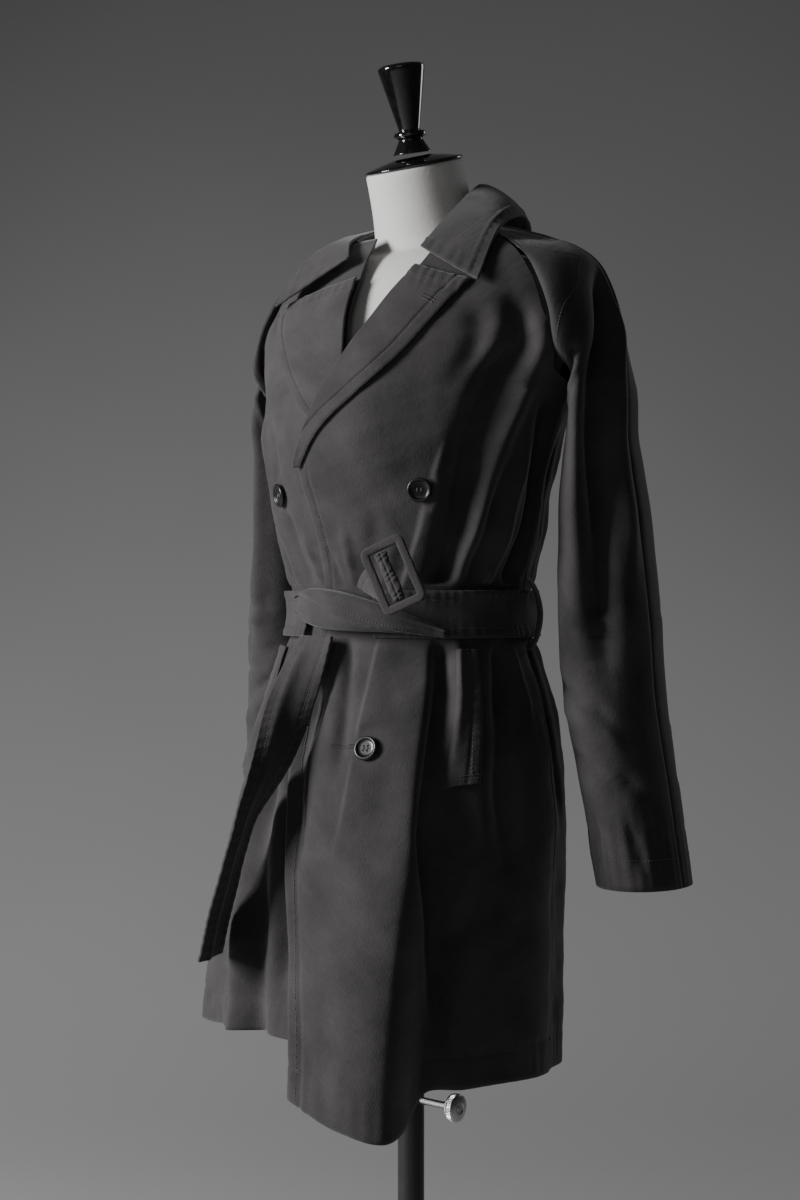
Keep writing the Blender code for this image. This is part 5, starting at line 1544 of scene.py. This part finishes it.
def form_skin():
    """Stretched linen torso and tilted neck: rings of half ellipses up to the neck, then
    circles square to the neck, with the rod's socket as rings below."""
    around = np.linspace(0, 2 * math.pi, 160, endpoint=False)
    rings = []
    for radius, z in ((0.0006, SOCKET_TOP), (ROD_BORE * 0.97, SOCKET_TOP), (ROD_BORE, SOCKET_TOP - 0.0004),
                      (ROD_BORE, FORM_BOTTOM + 0.0012), (ROD_BORE + 0.0012, FORM_BOTTOM),
                      (0.060, FORM_BOTTOM)):
        rings.append(np.stack([radius * np.sin(around), -radius * np.cos(around), z + 0 * around], axis=-1))
    base = FORM[0]
    for share in (0.0, 0.12, 0.30, 0.55, 1.0):
        out = 1 - 0.030 * (1 - share) ** 2
        z = base[0] + 0.0045 * share ** 2
        centre_y, width, front, back = along(FORM, z)
        depth = np.where(np.cos(around) > 0, front, back)
        rings.append(np.stack([out * width * np.sin(around), centre_y - out * depth * np.cos(around),
                               z + 0 * around], axis=-1))
    for z in np.concatenate([np.linspace(FORM_BOTTOM + 0.010, 1.396, 90), (1.402, 1.408, 1.412, 1.416)]):
        centre_y, width, front, back = along(FORM, z)
        depth = np.where(np.cos(around) > 0, front, back)
        rings.append(np.stack([width * np.sin(around), centre_y - depth * np.cos(around),
                               z + 0 * around], axis=-1))
    tilt = np.array(Matrix.Rotation(NECK_TILT, 3, "X"))
    for share in (0.06, 0.12, 0.2, 0.3, 0.4, 0.5, 0.6, 0.7, 0.8, 0.9, 0.96, 0.99, 1.0):
        shrink = 1.0 if share < 0.98 else (0.99 if share < 1 else 0.965)
        flare = NECK_RADIUS * (1 + 0.16 * (1 - share) ** 3) * shrink
        flat = np.stack([flare * np.sin(around), -flare * np.cos(around),
                         NECK_LENGTH * share + 0 * around], axis=-1)
        rings.append(flat @ tilt.T + np.array(NECK_BASE))
    points = np.array(rings)
    points = smoothed(points, 11, 108)
    mesh = grid_mesh("form_skin", points[::-1], close_across=True)
    top = placed(np.array([(0, 0, NECK_LENGTH)]),
                 Matrix.Translation(NECK_BASE) @ Matrix.Rotation(NECK_TILT, 4, "X"))
    mesh = with_caps(mesh, [top[0], np.array((0, 0, SOCKET_TOP))], *points.shape[:2])
    shade(mesh, 50)
    piece = finish_object("form_skin", mesh, LINEN)
    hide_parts("form_torso")
    return piece


def smoothed(points, first, last, passes=6):
    """Rings between two rows eased towards the mean of their neighbours."""
    for _ in range(passes):
        mean = (points[first - 1:last - 1] + points[first + 1:last + 1]) / 2
        points[first:last] = points[first:last] * 0.5 + mean * 0.5
    return points


def neck_top():
    """Lacquered cap and flared finial, square to the tilted neck."""
    top = NECK_BASE + Matrix.Rotation(NECK_TILT, 3, "X") @ Vector((0, 0, NECK_LENGTH + 0.0004))
    cap = lathe("neck_cap_lacquered", eased(CAP_PROFILE, 0.0012),
                Matrix.Translation(top) @ Matrix.Rotation(NECK_TILT, 4, "X"), LACQUER, 128)
    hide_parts("neck_cap")
    matrix = Matrix.Translation(top) @ Matrix.Rotation(FINIAL_TILT, 4, "X") @ Matrix.Translation(
        (0, 0, FINIAL_RISE))
    finial = lathe("finial_lacquered", eased(FINIAL_PROFILE, 0.0016), matrix, LACQUER, 128)
    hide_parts("finial")
    return [cap, finial]


def stand():
    """Base with eased edges, and the knurled clamp wheel; tube, rod and screw keep their
    own shapes."""
    base = lathe("stand_base_painted", eased(BASE_PROFILE, 0.0035), Matrix.Identity(4), IRON,
                 160, "stand")
    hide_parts("stand_base")
    along_x = Matrix.Rotation(math.radians(90), 4, "Y")

    def knurl(turn, radius, height):
        """Radius drops by a third of a millimetre in V cuts round the rim."""
        rim = ramp((radius - 0.0139) / 0.0004) * ramp((height - 0.0024) / 0.0005) * ramp(
            (0.0086 - height) / 0.0005)
        return -0.0007 * rim * np.abs(np.sin(turn * 27))

    rows = [(0, 0.0110), (0.0030, 0.0110), (0.0034, 0.0102), (0.0060, 0.0102), (0.0064, 0.0110),
            (0.0120, 0.0102)]
    rows += [(0.0140, 0.0092)] + [(0.0145, h) for h in np.linspace(0.0084, 0.0026, 12)] + [
        (0.0138, 0.0006), (0, 0)]
    wheel = lathe("clamp_wheel_knurled", np.array(rows), Matrix.Translation((WHEEL_X + 0.0004, 0,
                                                                             CLAMP_Z)) @ along_x,
                  STEEL, 324, "clamp", knurl)
    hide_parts("clamp_wheel")
    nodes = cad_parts
    for name, material in (("stand_tube", IRON), ("sliding_rod", IRON), ("clamp_screw", STEEL)):
        for place_of in nodes[name].material_slots:
            place_of.material = material


# ---- Camera, light and floor ------------------------------------------------------
def camera_and_light():
    """Camera three quarters from the wearer's left, a large soft key from its left side,
    weak fill, and a pale paper sweep."""
    forward = Vector((math.sin(math.radians(38)), -math.cos(math.radians(38)), 0))
    right = Vector((math.cos(math.radians(38)), math.sin(math.radians(38)), 0))
    view = bpy.data.cameras.new("camera")
    view.sensor_fit = "VERTICAL"
    view.sensor_height = 36
    view.lens = 52.65
    view.clip_start = 0.02
    camera = bpy.data.objects.new("camera", view)
    camera.location = forward * 1.85 - right * 0.0116 + Vector((0, 0, 1.05))
    camera.rotation_euler = (math.radians(90), 0, math.radians(38))
    bpy.context.scene.collection.objects.link(camera)
    bpy.context.scene.camera = camera
    lamps = (("key", -2.62, 0.80, 1.80, 0.8, 1.3, 132), ("front_fill", -0.6, 3.2, 1.7, 1.6, 1.6, 5),
             ("edge", 2.3, -1.9, 2.3, 0.8, 1.6, 10))
    for name, aside, ahead, height, wide, tall, power in lamps:
        lamp = bpy.data.lights.new(name, "AREA")
        lamp.shape = "RECTANGLE"
        lamp.size, lamp.size_y, lamp.energy = wide, tall, power
        thing = bpy.data.objects.new(name, lamp)
        thing.location = right * aside + forward * ahead + Vector((0, 0, height))
        thing.rotation_euler = (Vector((0, 0, 1.0)) - thing.location).to_track_quat("-Z", "Y").to_euler()
        bpy.context.scene.collection.objects.link(thing)
    world = bpy.data.worlds.new("studio")
    world.use_nodes = True
    world.node_tree.nodes["Background"].inputs["Color"].default_value = (0.80, 0.80, 0.81, 1)
    world.node_tree.nodes["Background"].inputs["Strength"].default_value = 0.04
    bpy.context.scene.world = world
    down, across = grid(40, 2)
    run = down * 11.0 - 4.2
    sweep = np.where(run < 1.6, 0.0, np.clip(run - 1.6, 0, None) ** 2 * 0.30)
    points = (np.array(forward) * -(run)[..., None] + np.array(right) * ((across * 2 - 1) * 6)[..., None])
    points[..., 2] = sweep - 0.0005
    mesh = grid_mesh("paper_floor", points[::-1])
    mesh.shade_smooth()
    mesh.materials.append(plain_stage("pale paper", (0.40, 0.40, 0.405), (0.44, 0.44, 0.445)))
    floor = bpy.data.objects.new("paper_floor", mesh)
    bpy.context.scene.collection.objects.link(floor)


# ---- Assembly ---------------------------------------------------------------------
camera_and_light()
form_skin()
neck_top()
stand()
back_piece, back_runs = back_panels()
front_pieces, front_runs = front_panels()
sleeve_pieces, sleeve_runs = sleeves()
lapel_pieces, lapel_runs = lapels()
collar_pieces, collar_runs = collar()
welt_pieces, welt_runs = welts()
loops()
belt_pieces, belt_runs = belts()
knot_pieces, knot_runs = knot()
buckle_pieces, buckle_runs = buckle()
buttons()

STITCHING = {
    "coat_back_cloth": stitch_mesh("back_stitches", back_runs),
    "front_left_cloth": stitch_mesh("front_stitches", front_runs),
    "sleeve_front_left_cloth": stitch_mesh("sleeve_stitches", sleeve_runs),
    "lapel_left_cloth": stitch_mesh("lapel_stitches", lapel_runs),
    "collar_leaf_cloth": stitch_mesh("collar_stitches", collar_runs),
    "welt_left_cloth": stitch_mesh("welt_stitches", welt_runs),
    "belt_waist_cloth": stitch_mesh("belt_stitches", belt_runs + knot_runs + buckle_runs),
}
